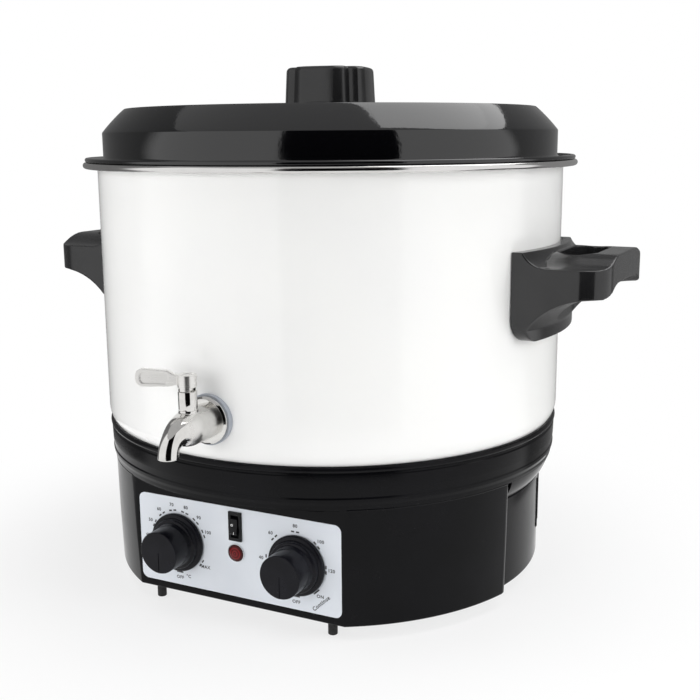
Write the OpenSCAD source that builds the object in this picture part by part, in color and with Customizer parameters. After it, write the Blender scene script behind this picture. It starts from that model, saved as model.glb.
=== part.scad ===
// Electric wax melting pot: white enamelled pot, black lid and handles, polished front tap,
// and a black moulded base with heater, thermostat, timer, switch and pilot lamp.
// Millimetres. Origin on the pot's axis at the level of the foot bottoms, +Z up, front towards -Y.

/* [Pot] */
// Outside diameter of the pot
pot_d = 350; // [340:1:360]
// Sheet thickness of the pot
pot_t = 1.2; // [0.8:0.1:2]
// Height of the pot wall above the base
pot_h = 189.4; // [170:0.2:220]
// Outside radius between wall and floor of the pot
pot_corner_r = 18; // [14:1:20]
// Depth that the pot sinks into the base
pot_sink = 8; // [7.5:0.5:9]
// Width of the pot's turned-out edge
pot_flange_w = 7; // [6:0.5:8]

/* [Rim] */
// How far the steel rim band stands out from the pot
rim_w = 10.3; // [8.5:0.1:12]
// Height of the steel rim band
rim_h = 4.5; // [4:0.1:5]

/* [Lid] */
// How far the lid's flange stands out from its wall
lid_flange_w = 13.3; // [10:0.1:14]
// Thickness of the lid's rolled flange
lid_flange_t = 3.2; // [2.6:0.1:4]
// How far the lid's upright wall is set in from the pot's wall
lid_wall_in = 4.6; // [4:0.1:10]
// Height of the lid above the rim
lid_h = 38.3; // [30:0.1:50]
// Width of the lid's sloping shoulder
lid_shoulder_w = 20; // [12:0.5:24]
// Height of the lid's sloping shoulder
lid_shoulder_h = 18.5; // [10:0.5:20]
// Sheet thickness of the lid
lid_t = 1.2; // [0.8:0.1:2]
// Depth of the locating skirt inside the pot
lid_skirt_h = 5; // [3:0.5:10]

/* [Lid knob] */
// Diameter at the foot of the knob
knob_d = 68.8; // [60:0.2:76]
// Diameter at the top of the knob
knob_top_d = 65.6; // [56:0.2:72]
// Height of the knob
knob_h = 29.5; // [24:0.5:36]
// Depth of the deep grooves
knob_groove = 5; // [3:0.5:7]
// Depth of the shallow flats between the grooves
knob_flute = 1.6; // [1:0.1:3]
// Azimuth of the first deep groove
knob_turn = 55; // [0:1:90]
// Diameter of the knob screw
knob_screw_d = 5; // [4:0.5:6]

/* [Base] */
// How far the base body is set in from the pot's wall
base_in = 3.2; // [3:0.1:5]
// How far the bead under the pot is set in from the pot's wall
bead_in = 0.4; // [0:0.1:1]
// Height of the base body
base_h = 113; // [108:1:125]
// Wall thickness of the base
base_t = 3; // [2.5:0.1:3.5]
// Width of the flat front beyond each side of the panel
flat_margin = 2.4; // [1:0.1:5]
// Radius of the upright front corners
corner_r = 10; // [8:1:12]
// Depth of the collar that overhangs the body
collar_h = 30; // [28:0.5:31]
// How far the sides and the back are set in from the base body
recess_in = 8.8; // [7:0.1:11]
// Azimuth where the recess begins
recess_az = 74.3; // [72:0.1:78]
// Radius of the upright edge of the recess
recess_edge_r = 8; // [6:0.5:8.5]
// Length of the feet below the base
foot_h = 10; // [8:0.5:14]
// Diameter of the feet
foot_d = 6.6; // [5:0.2:8]
// Sideways distance of the feet from the axis
foot_x = 71; // [60:1:80]
// Number of air slots on each side
slots = 5; // [3:1:6]
// Height of the air slots
slot_h = 40; // [30:1:44]

/* [Front panel] */
// Width of the panel plate
panel_w = 163.5; // [158:0.5:166]
// Height of the panel plate
panel_h = 65.5; // [62:0.5:68]
// Thickness of the panel plate
panel_t = 1; // [0.8:0.1:1.5]
// Depth of the panel below the top of the base, to its centre
panel_drop = 74.4; // [72:0.2:77]
// Sideways distance of the dials from the middle
dial_x = 48.5; // [46:0.5:52]
// Diameter of the dial's flange
dial_flange_d = 42.8; // [38:0.2:46]
// Diameter of the dial's grip
dial_grip_d = 30; // [26:0.5:34]
// Reach of the dial in front of the panel
dial_reach = 24.6; // [20:0.2:28]
// Diameter of the dial shafts
shaft_d = 6; // [5:0.5:7]
// Width of the rocker switch frame
rocker_w = 10.2; // [9:0.1:12]
// Height of the rocker switch frame
rocker_h = 21; // [18:0.5:24]
// Height of the rocker above the middle of the panel
rocker_up = 19.4; // [17.5:0.1:20]
// Diameter of the pilot lamp's ring
lamp_d = 13.4; // [12:0.1:15]

/* [Tap] */
// Height of the tap's axis above the base
tap_up = 28.3; // [24:0.1:40]
// Diameter of the tap's barrel
barrel_d = 23.4; // [20:0.2:25]
// Diameter of the grey sealing washer
gasket_d = 34; // [32:0.2:38]
// Thickness of the grey sealing washer
gasket_t = 3; // [2:0.5:6]
// Thickness of the steel ring
ring_t = 3.4; // [3:0.1:5]
// Distance from the pot wall to the valve's axis
valve_reach = 23.7; // [22:0.1:28]
// Distance from the valve's axis to the spout's outlet
spout_reach = 22.6; // [20:0.1:30]
// Drop of the outlet below the tap's axis
spout_drop = 14.3; // [13.5:0.1:22]
// Diameter of the spout
spout_d = 13.2; // [11:0.1:14]
// Diameter of the way through the spout
way_d = 8.4; // [7:0.1:9]
// Diameter of the tap's neck and lever hub
neck_d = 12.2; // [11:0.1:13]
// Height of the tap's neck above its axis
neck_h = 24; // [22:0.5:28]
// Height of the lever's hub
hub_h = 10.2; // [9:0.1:14]
// Length of the lever from the valve's axis
lever_l = 33.4; // [30:0.2:45]
// Height of the lever's blade
lever_h = 11.4; // [9:0.1:14]
// Thickness of the lever's blade
lever_t = 3.6; // [3:0.1:5]
// Turn of the lever from square across the spout
lever_turn = 18; // [0:1:30]

/* [Handles] */
// Length of the handles
handle_l = 120.8; // [116:0.2:126]
// Radius of the handle's outer corners
handle_corner_r = 20; // [11:0.5:24]
// Thickness of the handle's back plate
handle_plate_t = 10; // [9:0.5:11]
// Height of the back plate's lower edge above the base
handle_low = 71; // [66:0.5:74]
// Height of the back plate's upper edge above the base
handle_high = 132.5; // [128:0.5:138]
// Height of the webs' underside above the base
web_low = 103; // [100:0.5:106]
// Height of the webs' top above the base
web_high = 122.3; // [120:0.1:125]
// Width of the finger gap
grip_gap_w = 26; // [24:0.5:28]
// Thickness of the grip bar
grip_t = 16.5; // [14:0.5:18]
// Rise of the grip bar's middle
grip_rise = 8; // [6:0.1:9.5]

/* [Heater] */
// Diameter of the heat spreader plate
spreader_d = 160; // [140:2:180]
// Thickness of the heat spreader plate
spreader_t = 3; // [2:0.5:4]
// Diameter of the heating element's ring
element_ring_d = 116; // [100:2:130]
// Diameter of the heating element's tube
element_d = 8; // [6.5:0.5:9]
// Diameter of the centre stud
stud_d = 6; // [5:1:8]

/* [Fits] */
// Radial clearance of turning shafts in their bores
running = 0.05; // [0.02:0.01:0.09]
// Clearance round pieces that are dropped in
clearance = 0.3; // [0.2:0.05:0.4]

/* [Hidden] */
$fn = 96;

// heights
top_z = foot_h + base_h;
floor_z = top_z - pot_sink;
ledge_t = 3;
seal_t = 3;
ledge_z = floor_z - seal_t;
rim_z = top_z + pot_h + (rim_h - pot_t) / 2;
lid_z = rim_z;
lid_top_z = lid_z + lid_h;
knob_z = lid_top_z;
washer_t = 1.2;
washer_z = lid_top_z - lid_t - washer_t - 0.05;
panel_z = top_z - panel_drop;
tap_z = top_z + tap_up;
// radii
pot_r = pot_d / 2;
rim_r = pot_r + rim_w;
lid_wall_r = pot_r - lid_wall_in;
lid_flange_r = lid_wall_r + lid_flange_w;
base_r = pot_r - base_in;
bead_r = pot_r - bead_in;
recess_r = base_r - recess_in;
// corner curves stand a little proud of the faces they join
proud = 0.06;
front_corner_r = corner_r - proud;
flat_half = panel_w / 2 + flat_margin;
flat_y = sqrt(pow(base_r - front_corner_r, 2) - pow(flat_half, 2)) + front_corner_r;
bead_tube = 2.4;
well_r = bead_r - 2.3;
ledge_in_r = pot_r - 30;
seal_w = 9;
panel_corner = 5;
panel_recess = 0.8;
// faces of the front
front_y = -flat_y;
panel_back_y = front_y + panel_recess;
panel_y = panel_back_y - panel_t;
inner_y = front_y + base_t;
dial_gap = 0.6;
// base plate and centre stud
plate_t = 1.2;
plate_z = foot_h + 3;
plate_inset = base_t + clearance;
boss_r = 4.5;
boss_out = recess_r - base_t - boss_r - 4.9;
boss_az = 45.8;
boss_at = [boss_out * cos(boss_az), boss_out * sin(boss_az)];
screw_r = 1.6;
screw_head_r = 3.2;
screw_head_t = 2;
screw_l = 12;
nut_t = 5;
nut_r = stud_d * 0.95;
stud_hole_r = stud_d / 2 + clearance;
stud_low = 2;
// heater stack under the pot's floor
element_z = floor_z - spreader_t - element_d / 2;
element_end_x = 12;
clamp_t = 2;
clamp_z = element_z - element_d / 2 - clamp_t;
shield_t = 1;
shield_z = clamp_z - nut_t - shield_t;
shield_r = 120;
// tap along -Y
wall_y = -pot_r;
gasket_y = wall_y - gasket_t;
ring_y = gasket_y - ring_t;
valve_y = wall_y - valve_reach;
outlet_y = valve_y - spout_reach;
outlet_z = tap_z - spout_drop;
barrel_r = barrel_d / 2;
spout_r = spout_d / 2;
way_r = way_d / 2;
neck_r = neck_d / 2;
elbow_r = spout_drop;
tail_r = 8;
tail_l = 16;
tap_nut_t = 5;
tap_nut_r = 13;
inner_gasket_t = 2;
inner_gasket_r = 13;
plug_r = 5;
plug_low = tap_z - 7;
plug_top = tap_z + 8;
seat_way_r = 3;
stem_r = 2.6;
bonnet_h = 12;
bonnet_z = tap_z + neck_h - bonnet_h;
hub_z = tap_z + neck_h + 0.4;
hub_skirt = 2.2;
blade_z = hub_z + 7.6;
stop_w = 2;
lever_head_t = 1.2;
// handles
plate_r = pot_r + handle_plate_t;
seat_r = pot_r + clearance;
gap_in = plate_r + 0.8;
gap_out = gap_in + grip_gap_w;
handle_reach = gap_out + grip_t;
gap_l = 62;
under_r = 51;
under_at = [pot_r + 53, web_low - under_r];
swoop_r = 17;
swoop_at = [pot_r + 23, web_high + swoop_r];
wave_half = 58;
wave_r = 40;
wave_run = sqrt(pow(wave_r, 2) - pow(wave_r - grip_rise / 2, 2));
wave_flat = wave_half - 2 * wave_run;
// slope of the grip's underside, that of the webs' curve from the gap outwards
grip_run = under_at[0] - gap_out;
grip_slope = atan((under_r - sqrt(pow(under_r, 2) - pow(grip_run, 2))) / grip_run);
bracket_w = 34;
bracket_d = 7;
bracket_z = top_z + 84;
bracket_h = 24;
handle_screw_r = 1.5;
handle_screw_y = 9;
handle_screw_x = pot_r + 4;
handle_head_r = 2.7;
// shoulder of the recess
// part of the front where the housing stands forward of the round shoulder
front_half = flat_half + corner_r + 1;
front_depth = sqrt(pow(recess_r, 2) - pow(front_half, 2)) - 12;
shoulder_r = 27.8;
shoulder_at = [base_r - 28.2, -25.8];
// knob lobes
lobes = 4;
// rocker
rocker_wall = 1.1;
rocker_pin_r = 1;
rocker_proud = 1.6;
rocker_body_d = 16;
rocker_z = panel_z + rocker_up;
rocker_r = 9;
rocker_tilt = 8;
// lamp
lamp_lens_r = lamp_d / 2 - 0.6;
lamp_hole_r = lamp_d / 2 - 1.4;
// dials
dial_edge = 3.2;
dial_step_r = dial_flange_d / 2 - 3.4;
dial_step_t = 3.6;
shaft_r = shaft_d / 2;
bush_r = shaft_r + 2;
bush_nut_t = 2;
thermostat_w = 34;
thermostat_deep = 20;
timer_w = 44;
timer_deep = 26;
// cord gland at the back
gland_z = foot_h + 30;
gland_bore_r = 4;
gland_r = 6.5;
gland_flange_r = 9.5;
gland_flange_t = 4;
gland_nut_t = 4;
eps = 0.01;

function arc(c, r, a0, a1, n = 8) = [for (i = [0:n]) let (a = a0 + (a1 - a0) * i / n)
    [c[0] + r * cos(a), c[1] + r * sin(a)]];

module tube(r_out, r_in, h) {
    difference() {
        cylinder(r = r_out, h = h);
        translate([0, 0, -1]) cylinder(r = r_in, h = h + 2);
    }
}

// a cylinder that runs towards +Y from y = 0
module rod_y(r, l) {
    rotate([-90, 0, 0]) cylinder(r = r, h = l);
}

module hex_nut(r, hole_r, h) {
    difference() {
        cylinder(r = r, h = h, $fn = 6);
        translate([0, 0, -1]) cylinder(r = hole_r, h = h + 2);
    }
}

module mirror_x() {
    children();
    mirror([1, 0, 0]) children();
}

// plate in the XZ plane with round corners, from y = 0 towards +Y
module rounded_plate(w, h, t, r) {
    rotate([90, 0, 0]) translate([0, 0, -t]) linear_extrude(t) union() {
        square([w - 2 * r, h], center = true);
        square([w, h - 2 * r], center = true);
        for (x = [-1, 1], z = [-1, 1])
            translate([x * (w / 2 - r), z * (h / 2 - r)]) circle(r = r);
    }
}

// ---------------------------------------------------------------- pot
module pot_profile(inset) {
    r = pot_r - inset;
    c = pot_corner_r - inset;
    low = floor_z + inset;
    union() {
        translate([0, low]) square([r - c, pot_h]);
        translate([0, low + c]) square([r, top_z + pot_h - low - c]);
        intersection() {
            translate([r - c, low + c]) circle(r = c);
            translate([0, low]) square([r, c + eps]);
        }
    }
}

module pot() {
    color("white") difference() {
        rotate_extrude($fn = 180) union() {
            difference() {
                pot_profile(0);
                pot_profile(pot_t);
            }
            translate([pot_r - pot_t, top_z + pot_h - pot_t])
                square([pot_t + pot_flange_w, pot_t]);
        }
        translate([0, -pot_r - 5, tap_z]) rod_y(tail_r + clearance, 12);
    }
}

module rim_band() {
    color("silver") rotate_extrude($fn = 180) difference() {
        union() {
            translate([pot_r + clearance, rim_z - rim_h])
                square([rim_r - pot_r - clearance - rim_h / 2, rim_h]);
            translate([rim_r - rim_h / 2, rim_z - rim_h / 2]) circle(r = rim_h / 2, $fn = 32);
        }
        translate([pot_r, top_z + pot_h - pot_t])
            square([pot_flange_w + clearance, pot_t]);
    }
}

// ---------------------------------------------------------------- lid
module lid_profile(inset) {
    r = lid_wall_r - inset;
    top = lid_top_z - inset;
    w = lid_shoulder_w + inset * 0.4;
    h = lid_shoulder_h + inset * 0.4;
    bulge = 1.43;
    shoulder = [for (a = [0:7.5:90])
        [r - w + w * pow(cos(a), bulge), top - h + h * pow(sin(a), bulge)]];
    polygon(concat([[0, top], [0, lid_z - lid_skirt_h], [r, lid_z - lid_skirt_h]], shoulder));
}

module lid() {
    edge_r = lid_flange_t / 2;
    skirt_out = 2;
    color([0.08, 0.08, 0.09]) difference() {
        rotate_extrude($fn = 180) union() {
            difference() {
                lid_profile(0);
                translate([0, -eps]) lid_profile(lid_t);
            }
            translate([lid_wall_r - lid_t, lid_z - lid_skirt_h])
                square([skirt_out + lid_t, lid_skirt_h + lid_flange_t]);
            translate([lid_wall_r, lid_z]) square([lid_flange_w - edge_r, lid_flange_t]);
            translate([lid_flange_r - edge_r, lid_z + edge_r]) circle(r = edge_r, $fn = 32);
        }
        translate([0, 0, lid_top_z - 5]) cylinder(r = knob_screw_d / 2 + clearance, h = 10);
    }
}

module lid_knob() {
    taper = (knob_d - knob_top_d) / 2;
    round_r = 3.4;
    lip = 3;
    color([0.1, 0.1, 0.11]) translate([0, 0, knob_z]) difference() {
        rotate_extrude() union() {
            polygon([
                [0, 0], [knob_d / 2 - 0.8, 0], [knob_d / 2, 1.2], [knob_d / 2 - taper, knob_h - round_r],
                [knob_d / 2 - taper - 1, knob_h - 1], [knob_d / 2 - taper - round_r, knob_h],
                [0, knob_h]
            ]);
        }
        for (k = [0:lobes - 1]) {
            rotate([0, 0, knob_turn - 90 + k * 360 / lobes])
                translate([knob_d / 2 + 5 - knob_groove, 0, lip])
                rotate([0, 0, 45]) translate([-3.5, -3.5, 0]) cube([14, 14, knob_h]);
            rotate([0, 0, knob_turn - 90 + (k + 0.5) * 360 / lobes])
                translate([knob_d / 2 + 16 - knob_flute, 0, lip]) cylinder(r = 16, h = knob_h);
        }
        translate([0, 0, -1]) cylinder(r = knob_screw_d / 2 + running, h = 19);
    }
}

module lid_knob_washer() {
    color("silver") translate([0, 0, washer_z]) tube(9, knob_screw_d / 2 + clearance, washer_t);
}

module lid_knob_screw() {
    head_t = 3;
    color("silver") translate([0, 0, washer_z - head_t]) union() {
        cylinder(r = 4.6, h = head_t);
        translate([0, 0, 1]) cylinder(r = knob_screw_d / 2, h = head_t + lid_t + 16);
    }
}

// ---------------------------------------------------------------- handles
module handle_shape() {
    difference() {
        intersection() {
            union() {
                rotate_extrude($fn = 180) handle_section();
                // a slab carries the corners out to the grip
                translate([pot_r + 32, -handle_l / 2, top_z + web_low])
                    cube([40, handle_l, web_high - web_low]);
                translate([plate_r - 1, 0, top_z + web_high]) grip_wave(60, 6);
            }
            handle_plan();
        }
        // the grip's underside follows the wave of its top
        translate([under_at[0], 0, top_z + web_low]) rotate([0, -grip_slope, 0])
            translate([-grip_run, 0, 0]) grip_wave(grip_t + 10, 40);
        finger_gap();
        plate_corners();
        bracket_pocket();
        handle_screw_holes();
    }
}

// back plate and webs, turned about the pot's axis
module handle_section() {
    difference() {
        union() {
            translate([seat_r, top_z + handle_low]) square([plate_r - seat_r, handle_high - handle_low]);
            translate([seat_r, top_z + web_low - 24]) square([60, web_high - web_low + 24]);
            translate([seat_r, top_z + web_high - 1])
                square([swoop_at[0] - seat_r, handle_high - web_high + 1]);
        }
        translate([under_at[0], top_z + under_at[1]]) circle(r = under_r, $fn = 120);
        translate([under_at[0], top_z]) square([30, web_low]);
        translate([swoop_at[0], top_z + swoop_at[1]]) circle(r = swoop_r);
    }
    // the foot of the plate keeps its full thickness
    translate([seat_r, top_z + handle_low]) square([plate_r - seat_r, web_low - 20 - handle_low]);
}

// block with the wave of the grip as its top, flat in the middle and the same all along x
module grip_wave(length, depth) {
    difference() {
        union() {
            translate([0, -wave_half, -depth]) cube([length, 2 * wave_half, depth + grip_rise / 2]);
            translate([0, -wave_flat, 0]) cube([length, 2 * wave_flat, grip_rise - 0.05]);
            intersection() {
                translate([0, -wave_half + wave_run, 0])
                    cube([length, 2 * (wave_half - wave_run), grip_rise + 1]);
                wave_rolls(0, wave_flat, grip_rise - wave_r, length);
            }
        }
        // the hollows' centres are set so that no curves just touch
        wave_rolls(-1, wave_half + 0.3, wave_r - 0.05, length + 2);
    }
}

module wave_rolls(x, y, z, length) {
    for (s = [-1, 1]) translate([x, s * y, z]) rotate([0, 90, 0])
        cylinder(r = wave_r, h = length, $fn = 240);
}

module handle_plan() {
    r = handle_corner_r;
    l = handle_l / 2;
    translate([0, 0, top_z]) linear_extrude(handle_high) union() {
        translate([pot_r - 40, -l]) square([handle_reach - pot_r + 40 - r, 2 * l]);
        translate([pot_r - 40, -l + r]) square([handle_reach - pot_r + 40, 2 * (l - r)]);
        for (s = [-1, 1]) translate([handle_reach - r, s * (l - r)]) circle(r = r);
    }
}

module finger_gap() {
    r = grip_gap_w / 2;
    translate([gap_in + r, 0, top_z + handle_low]) linear_extrude(90) union() {
        square([grip_gap_w, gap_l - 2 * r], center = true);
        for (s = [-1, 1]) translate([0, s * (gap_l / 2 - r)]) circle(r = r);
    }
}

// round the two lower corners of the back plate
module plate_corners() {
    r = 16;
    for (s = [-1, 1]) translate([pot_r - 20, s * handle_l / 2, top_z + handle_low])
        rotate([90, 0, 90]) linear_extrude(40) difference() {
            translate([s > 0 ? -r : -1, -1]) square([r + 1, r + 1]);
            translate([-s * r, r]) circle(r = r);
        }
}

module bracket_pocket() {
    c = clearance;
    translate([pot_r - 5, -bracket_w / 2 - c, bracket_z - c])
        cube([5 + bracket_d + c, bracket_w + 2 * c, bracket_h + 2 * c]);
}

module handle_screw_holes() {
    for (s = [-1, 1]) translate([handle_screw_x, s * handle_screw_y, 0]) {
        translate([0, 0, top_z + handle_low - 1])
            cylinder(r = handle_screw_r + clearance, h = bracket_z - top_z - handle_low + 2);
        translate([0, 0, top_z + handle_low - 1]) cylinder(r = handle_head_r + clearance, h = 4);
    }
}

module handle_left() {
    color([0.12, 0.12, 0.13]) mirror([1, 0, 0]) handle_shape();
}

module handle_right() {
    color([0.12, 0.12, 0.13]) handle_shape();
}

module handle_brackets() {
    color("silver") mirror_x() difference() {
        translate([pot_r - 3, -bracket_w / 2, bracket_z]) cube([bracket_d + 3, bracket_w, bracket_h]);
        translate([0, 0, bracket_z - 1]) cylinder(r = pot_r, h = bracket_h + 2, $fn = 180);
        for (s = [-1, 1]) translate([handle_screw_x, s * handle_screw_y, bracket_z - 1])
            cylinder(r = handle_screw_r, h = bracket_h + 2);
    }
}

module handle_screws() {
    head_t = 2.4;
    color("silver") mirror_x() for (s = [-1, 1])
        translate([handle_screw_x, s * handle_screw_y, top_z + handle_low + 3 - head_t]) {
            cylinder(r = handle_head_r, h = head_t);
            cylinder(r = handle_screw_r, h = bracket_z - top_z - handle_low + 8);
        }
}

// ---------------------------------------------------------------- tap
module tap_body() {
    y0 = wall_y + tail_l;
    elbow_y = outlet_y + elbow_r;
    color([0.8, 0.8, 0.82]) difference() {
        union() {
            // threaded tail through the wall, then the barrel
            translate([0, ring_y, tap_z]) rod_y(tail_r, y0 - ring_y);
            translate([0, valve_y - 6, tap_z]) rod_y(barrel_r, ring_y - valve_y + 6);
            translate([0, valve_y - 6, tap_z]) rotate([90, 0, 0])
                cylinder(r1 = barrel_r, r2 = spout_r, h = valve_y - 6 - elbow_y + 4);
            // the spout turns down to its outlet
            translate([0, elbow_y, tap_z]) rod_y(spout_r, valve_y - elbow_y);
            translate([0, elbow_y, outlet_z]) rotate([90, 0, -90])
                rotate_extrude(angle = 90) translate([elbow_r, 0]) circle(r = spout_r, $fn = 48);
            // neck that carries the bonnet
            translate([0, valve_y, tap_z]) cylinder(r = neck_r, h = bonnet_z - tap_z);
        }
        translate([0, valve_y + plug_r + 2, tap_z]) rod_y(way_r, y0 - valve_y + 1);
        translate([0, valve_y - plug_r - 3, tap_z]) rod_y(seat_way_r, 2 * plug_r + 6);
        translate([0, elbow_y, tap_z]) rod_y(way_r, valve_y - plug_r - 2 - elbow_y);
        translate([0, elbow_y, outlet_z]) rotate([90, 0, -90])
            rotate_extrude(angle = 90) translate([elbow_r, 0]) circle(r = way_r, $fn = 48);
        translate([0, outlet_y, outlet_z - 1]) cylinder(r = way_r, h = 1 + 5);
        // seat of the turning plug
        translate([0, valve_y, plug_low - running]) cylinder(r = plug_r + running, h = 60);
    }
}

module tap_ring() {
    r = gasket_d / 2 - 1;
    bevel = 1.5;
    color([0.85, 0.85, 0.87]) translate([0, ring_y, tap_z]) rotate([-90, 0, 0]) difference() {
        rotate_extrude() polygon([[0, 0], [r - bevel, 0], [r, bevel], [r, ring_t], [0, ring_t]]);
        translate([0, 0, -1]) cylinder(r = tail_r, h = ring_t + 2);
    }
}

module tap_gasket() {
    color("gray") difference() {
        translate([0, gasket_y, tap_z]) rod_y(gasket_d / 2, gasket_t + 2);
        translate([0, gasket_y - 1, tap_z]) rod_y(tail_r, gasket_t + 5);
        cylinder(r = pot_r, h = tap_z + 50, $fn = 180);
    }
}

module tap_inner_gasket() {
    back = wall_y + pot_t + inner_gasket_t;
    color("gray") difference() {
        intersection() {
            translate([0, back - 4, tap_z]) rod_y(inner_gasket_r, 4);
            cylinder(r = pot_r - pot_t, h = tap_z + 50, $fn = 720);
        }
        translate([0, back - 6, tap_z]) rod_y(tail_r, 8);
    }
}

module tap_nut() {
    color("silver") translate([0, wall_y + pot_t + inner_gasket_t, tap_z])
        rotate([-90, 0, 0]) hex_nut(tap_nut_r, tail_r, tap_nut_t);
}

module tap_bonnet() {
    color([0.8, 0.8, 0.82]) translate([0, valve_y, bonnet_z]) union() {
        difference() {
            cylinder(r = neck_r, h = bonnet_h);
            translate([0, 0, -1]) cylinder(r = stem_r + running, h = bonnet_h + 2);
        }
        // two stops that the lever's skirt meets at each end of its travel
        intersection() {
            tube(neck_r - 0.4, stem_r + 1.2, bonnet_h + hub_skirt - 0.2);
            rotate([0, 0, 45]) translate([-20, -stop_w / 2, 0]) cube([40, stop_w, 40]);
        }
    }
}

module tap_plug() {
    color("silver") translate([0, valve_y, 0]) difference() {
        union() {
            translate([0, 0, plug_low]) cylinder(r = plug_r, h = bonnet_z - plug_low - running);
            translate([0, 0, plug_top]) cylinder(r = stem_r, h = hub_z + hub_h - 2 - plug_top);
        }
        rotate([0, 0, lever_turn]) translate([0, 0, tap_z]) rotate([0, 90, 0])
            translate([0, 0, -10]) cylinder(r = seat_way_r, h = 20);
    }
}

module tap_lever() {
    pad_w = 18.8;
    pad_h = lever_h - 4.1;
    pad_r = 2.6;
    color([0.8, 0.8, 0.82]) translate([0, valve_y, 0]) rotate([0, 0, lever_turn]) difference() {
        union() {
            translate([0, 0, hub_z]) cylinder(r = neck_r, h = hub_h);
            translate([0, lever_t / 2, blade_z]) rotate([90, 0, 0]) linear_extrude(lever_t) blade();
        }
        // sunk pad on both faces of the blade
        for (s = [0, 1]) mirror([0, s, 0]) translate([-lever_l + 3 + pad_w / 2, lever_t / 2 - 0.5, blade_z])
            rounded_plate(pad_w, pad_h, 2, pad_r);
        // skirt cut away for a quarter turn round each stop
        translate([0, 0, hub_z - 1]) hub_cut();
        translate([0, 0, hub_z - 1]) cylinder(r = stem_r, h = hub_h - 1);
        translate([0, 0, hub_z + hub_h - 3]) cylinder(r = 1.5, h = 5);
        translate([0, 0, hub_z + hub_h - lever_head_t]) cylinder(r = 3 + running, h = 3);
    }
}

// side view of the lever's blade: deepest at the end, drawn in towards the hub
module blade() {
    h = lever_h / 2;
    r = 4.6;
    polygon(concat(
        arc([-lever_l + r, h - r], r, 90, 180, 12),
        arc([-lever_l + r, -h + r], r, 180, 270, 12),
        [[-12.5, -h + 0.4], [-9.5, -h + 0.8], [-7.5, -h + 1.5], [-4, -h + 1.6],
        [-4, h - 3.1], [-7.6, h - 3.2], [-9.3, h - 2.6], [-11, h - 1.4], [-12.8, h - 0.7]]
    ));
}

module hub_cut() {
    s = stop_w / 2 + 0.3;
    intersection() {
        tube(neck_r + 2, stem_r + 0.9, hub_skirt + 1);
        for (k = [-45, 135]) rotate([0, 0, k]) translate([-s, -s, 0]) cube([20, 20, 20]);
    }
}

module tap_lever_screw() {
    color("silver") translate([0, valve_y, hub_z + hub_h - lever_head_t]) union() {
        cylinder(r = 3, h = lever_head_t - 0.1);
        translate([0, 0, lever_head_t - 2]) cylinder(r = 1.5, h = 1.3);
    }
}

// ---------------------------------------------------------------- base
// plan of the front housing: round, with a flat front and round corners, moved inwards by inset
module front_plan(inset) {
    r = base_r - inset;
    f = flat_y - inset;
    a = recess_az;
    far = 2 * base_r;
    dir = [sin(a), -cos(a)];
    out = [cos(a), sin(a)];
    apex = [0, -inset / sin(a)];
    // centres of the corner curves, which cross the faces at a slight angle
    c_at = [flat_half, front_corner_r - flat_y];
    c_out = c_at / norm(c_at);
    e_r = recess_edge_r - proud;
    e_az = a - asin(e_r / (base_r - e_r));
    e_out = [sin(e_az), -cos(e_az)];
    e_at = (base_r - e_r) * e_out;
    difference() {
        intersection() {
            circle(r = r, $fn = 180);
            translate([-r - 1, -f]) square([2 * r + 2, f + 1]);
            polygon([apex, apex + far * dir, [far, -2 * far], [-far, -2 * far],
                apex + far * [-dir[0], dir[1]]]);
        }
        for (s = [0, 1]) mirror([s, 0]) difference() {
            union() {
                polygon([c_at, c_at - [0, 20], c_at + 20 * [c_out[0], c_out[1] - 1],
                    c_at + 20 * c_out]);
                polygon([e_at, e_at + 20 * e_out, e_at + 20 * (e_out + out), e_at + 20 * out]);
            }
            translate(c_at) circle(r = corner_r - inset);
            translate(e_at) circle(r = recess_edge_r - inset);
        }
    }
}

module base_plan(inset) {
    union() {
        front_plan(inset);
        intersection() {
            circle(r = recess_r - inset, $fn = 180);
            translate([-base_r, -flat_y + inset]) square([2 * base_r, 2 * base_r]);
        }
    }
}

// turned upper part: bead, groove, collar with its crease, and the slope under the overhang
module collar_profile() {
    union() {
        polygon([
            [0, -0.4], [bead_r - bead_tube, -0.4], [bead_r - bead_tube, -1.4 * bead_tube],
            [bead_r - 1.6, -5.6], [bead_r - 0.7, -6.4], [bead_r - 1, -16.5], [bead_r - 1.5, -21.6],
            [bead_r - 1, -22.4], [bead_r - 1.2, -24.2], [base_r + 0.8, -26.8], [base_r + 0.3, -collar_h],
            [flat_y - 1, -collar_h - 8], [0, -collar_h - 8]
        ]);
        translate([bead_r - bead_tube, -bead_tube]) circle(r = bead_tube, $fn = 32);
    }
}

module shoulder_profile() {
    intersection() {
        translate(shoulder_at) circle(r = shoulder_r);
        translate([recess_r - 12, -collar_h - 17]) square([40, 18]);
    }
}

module base_housing() {
    color([0.1, 0.1, 0.11]) difference() {
        union() {
            translate([0, 0, top_z]) rotate_extrude($fn = 180) collar_profile();
            difference() {
                translate([0, 0, top_z]) rotate_extrude($fn = 180) shoulder_profile();
                translate([-front_half, -base_r - 1, foot_h])
                    cube([2 * front_half, base_r + 1 - front_depth, base_h]);
            }
            translate([0, 0, foot_h]) linear_extrude(base_h - collar_h + 4) base_plan(0);
            louvres();
        }
        base_cavity();
        // well for the pot
        translate([0, 0, ledge_z]) cylinder(r = well_r, h = 40, $fn = 180);
        // seat of the panel plate and the openings behind it
        translate([0, front_y - 1, panel_z])
            rounded_plate(panel_w + 0.4, panel_h + 0.4, 1 + panel_recess, panel_corner + 0.2);
        control_openings(front_y - 1);
        air_slots();
        translate([0, recess_r - base_t - 5, gland_z]) rod_y(gland_r + clearance, base_t + 10);
    }
    color([0.1, 0.1, 0.11]) bosses();
}

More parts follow.
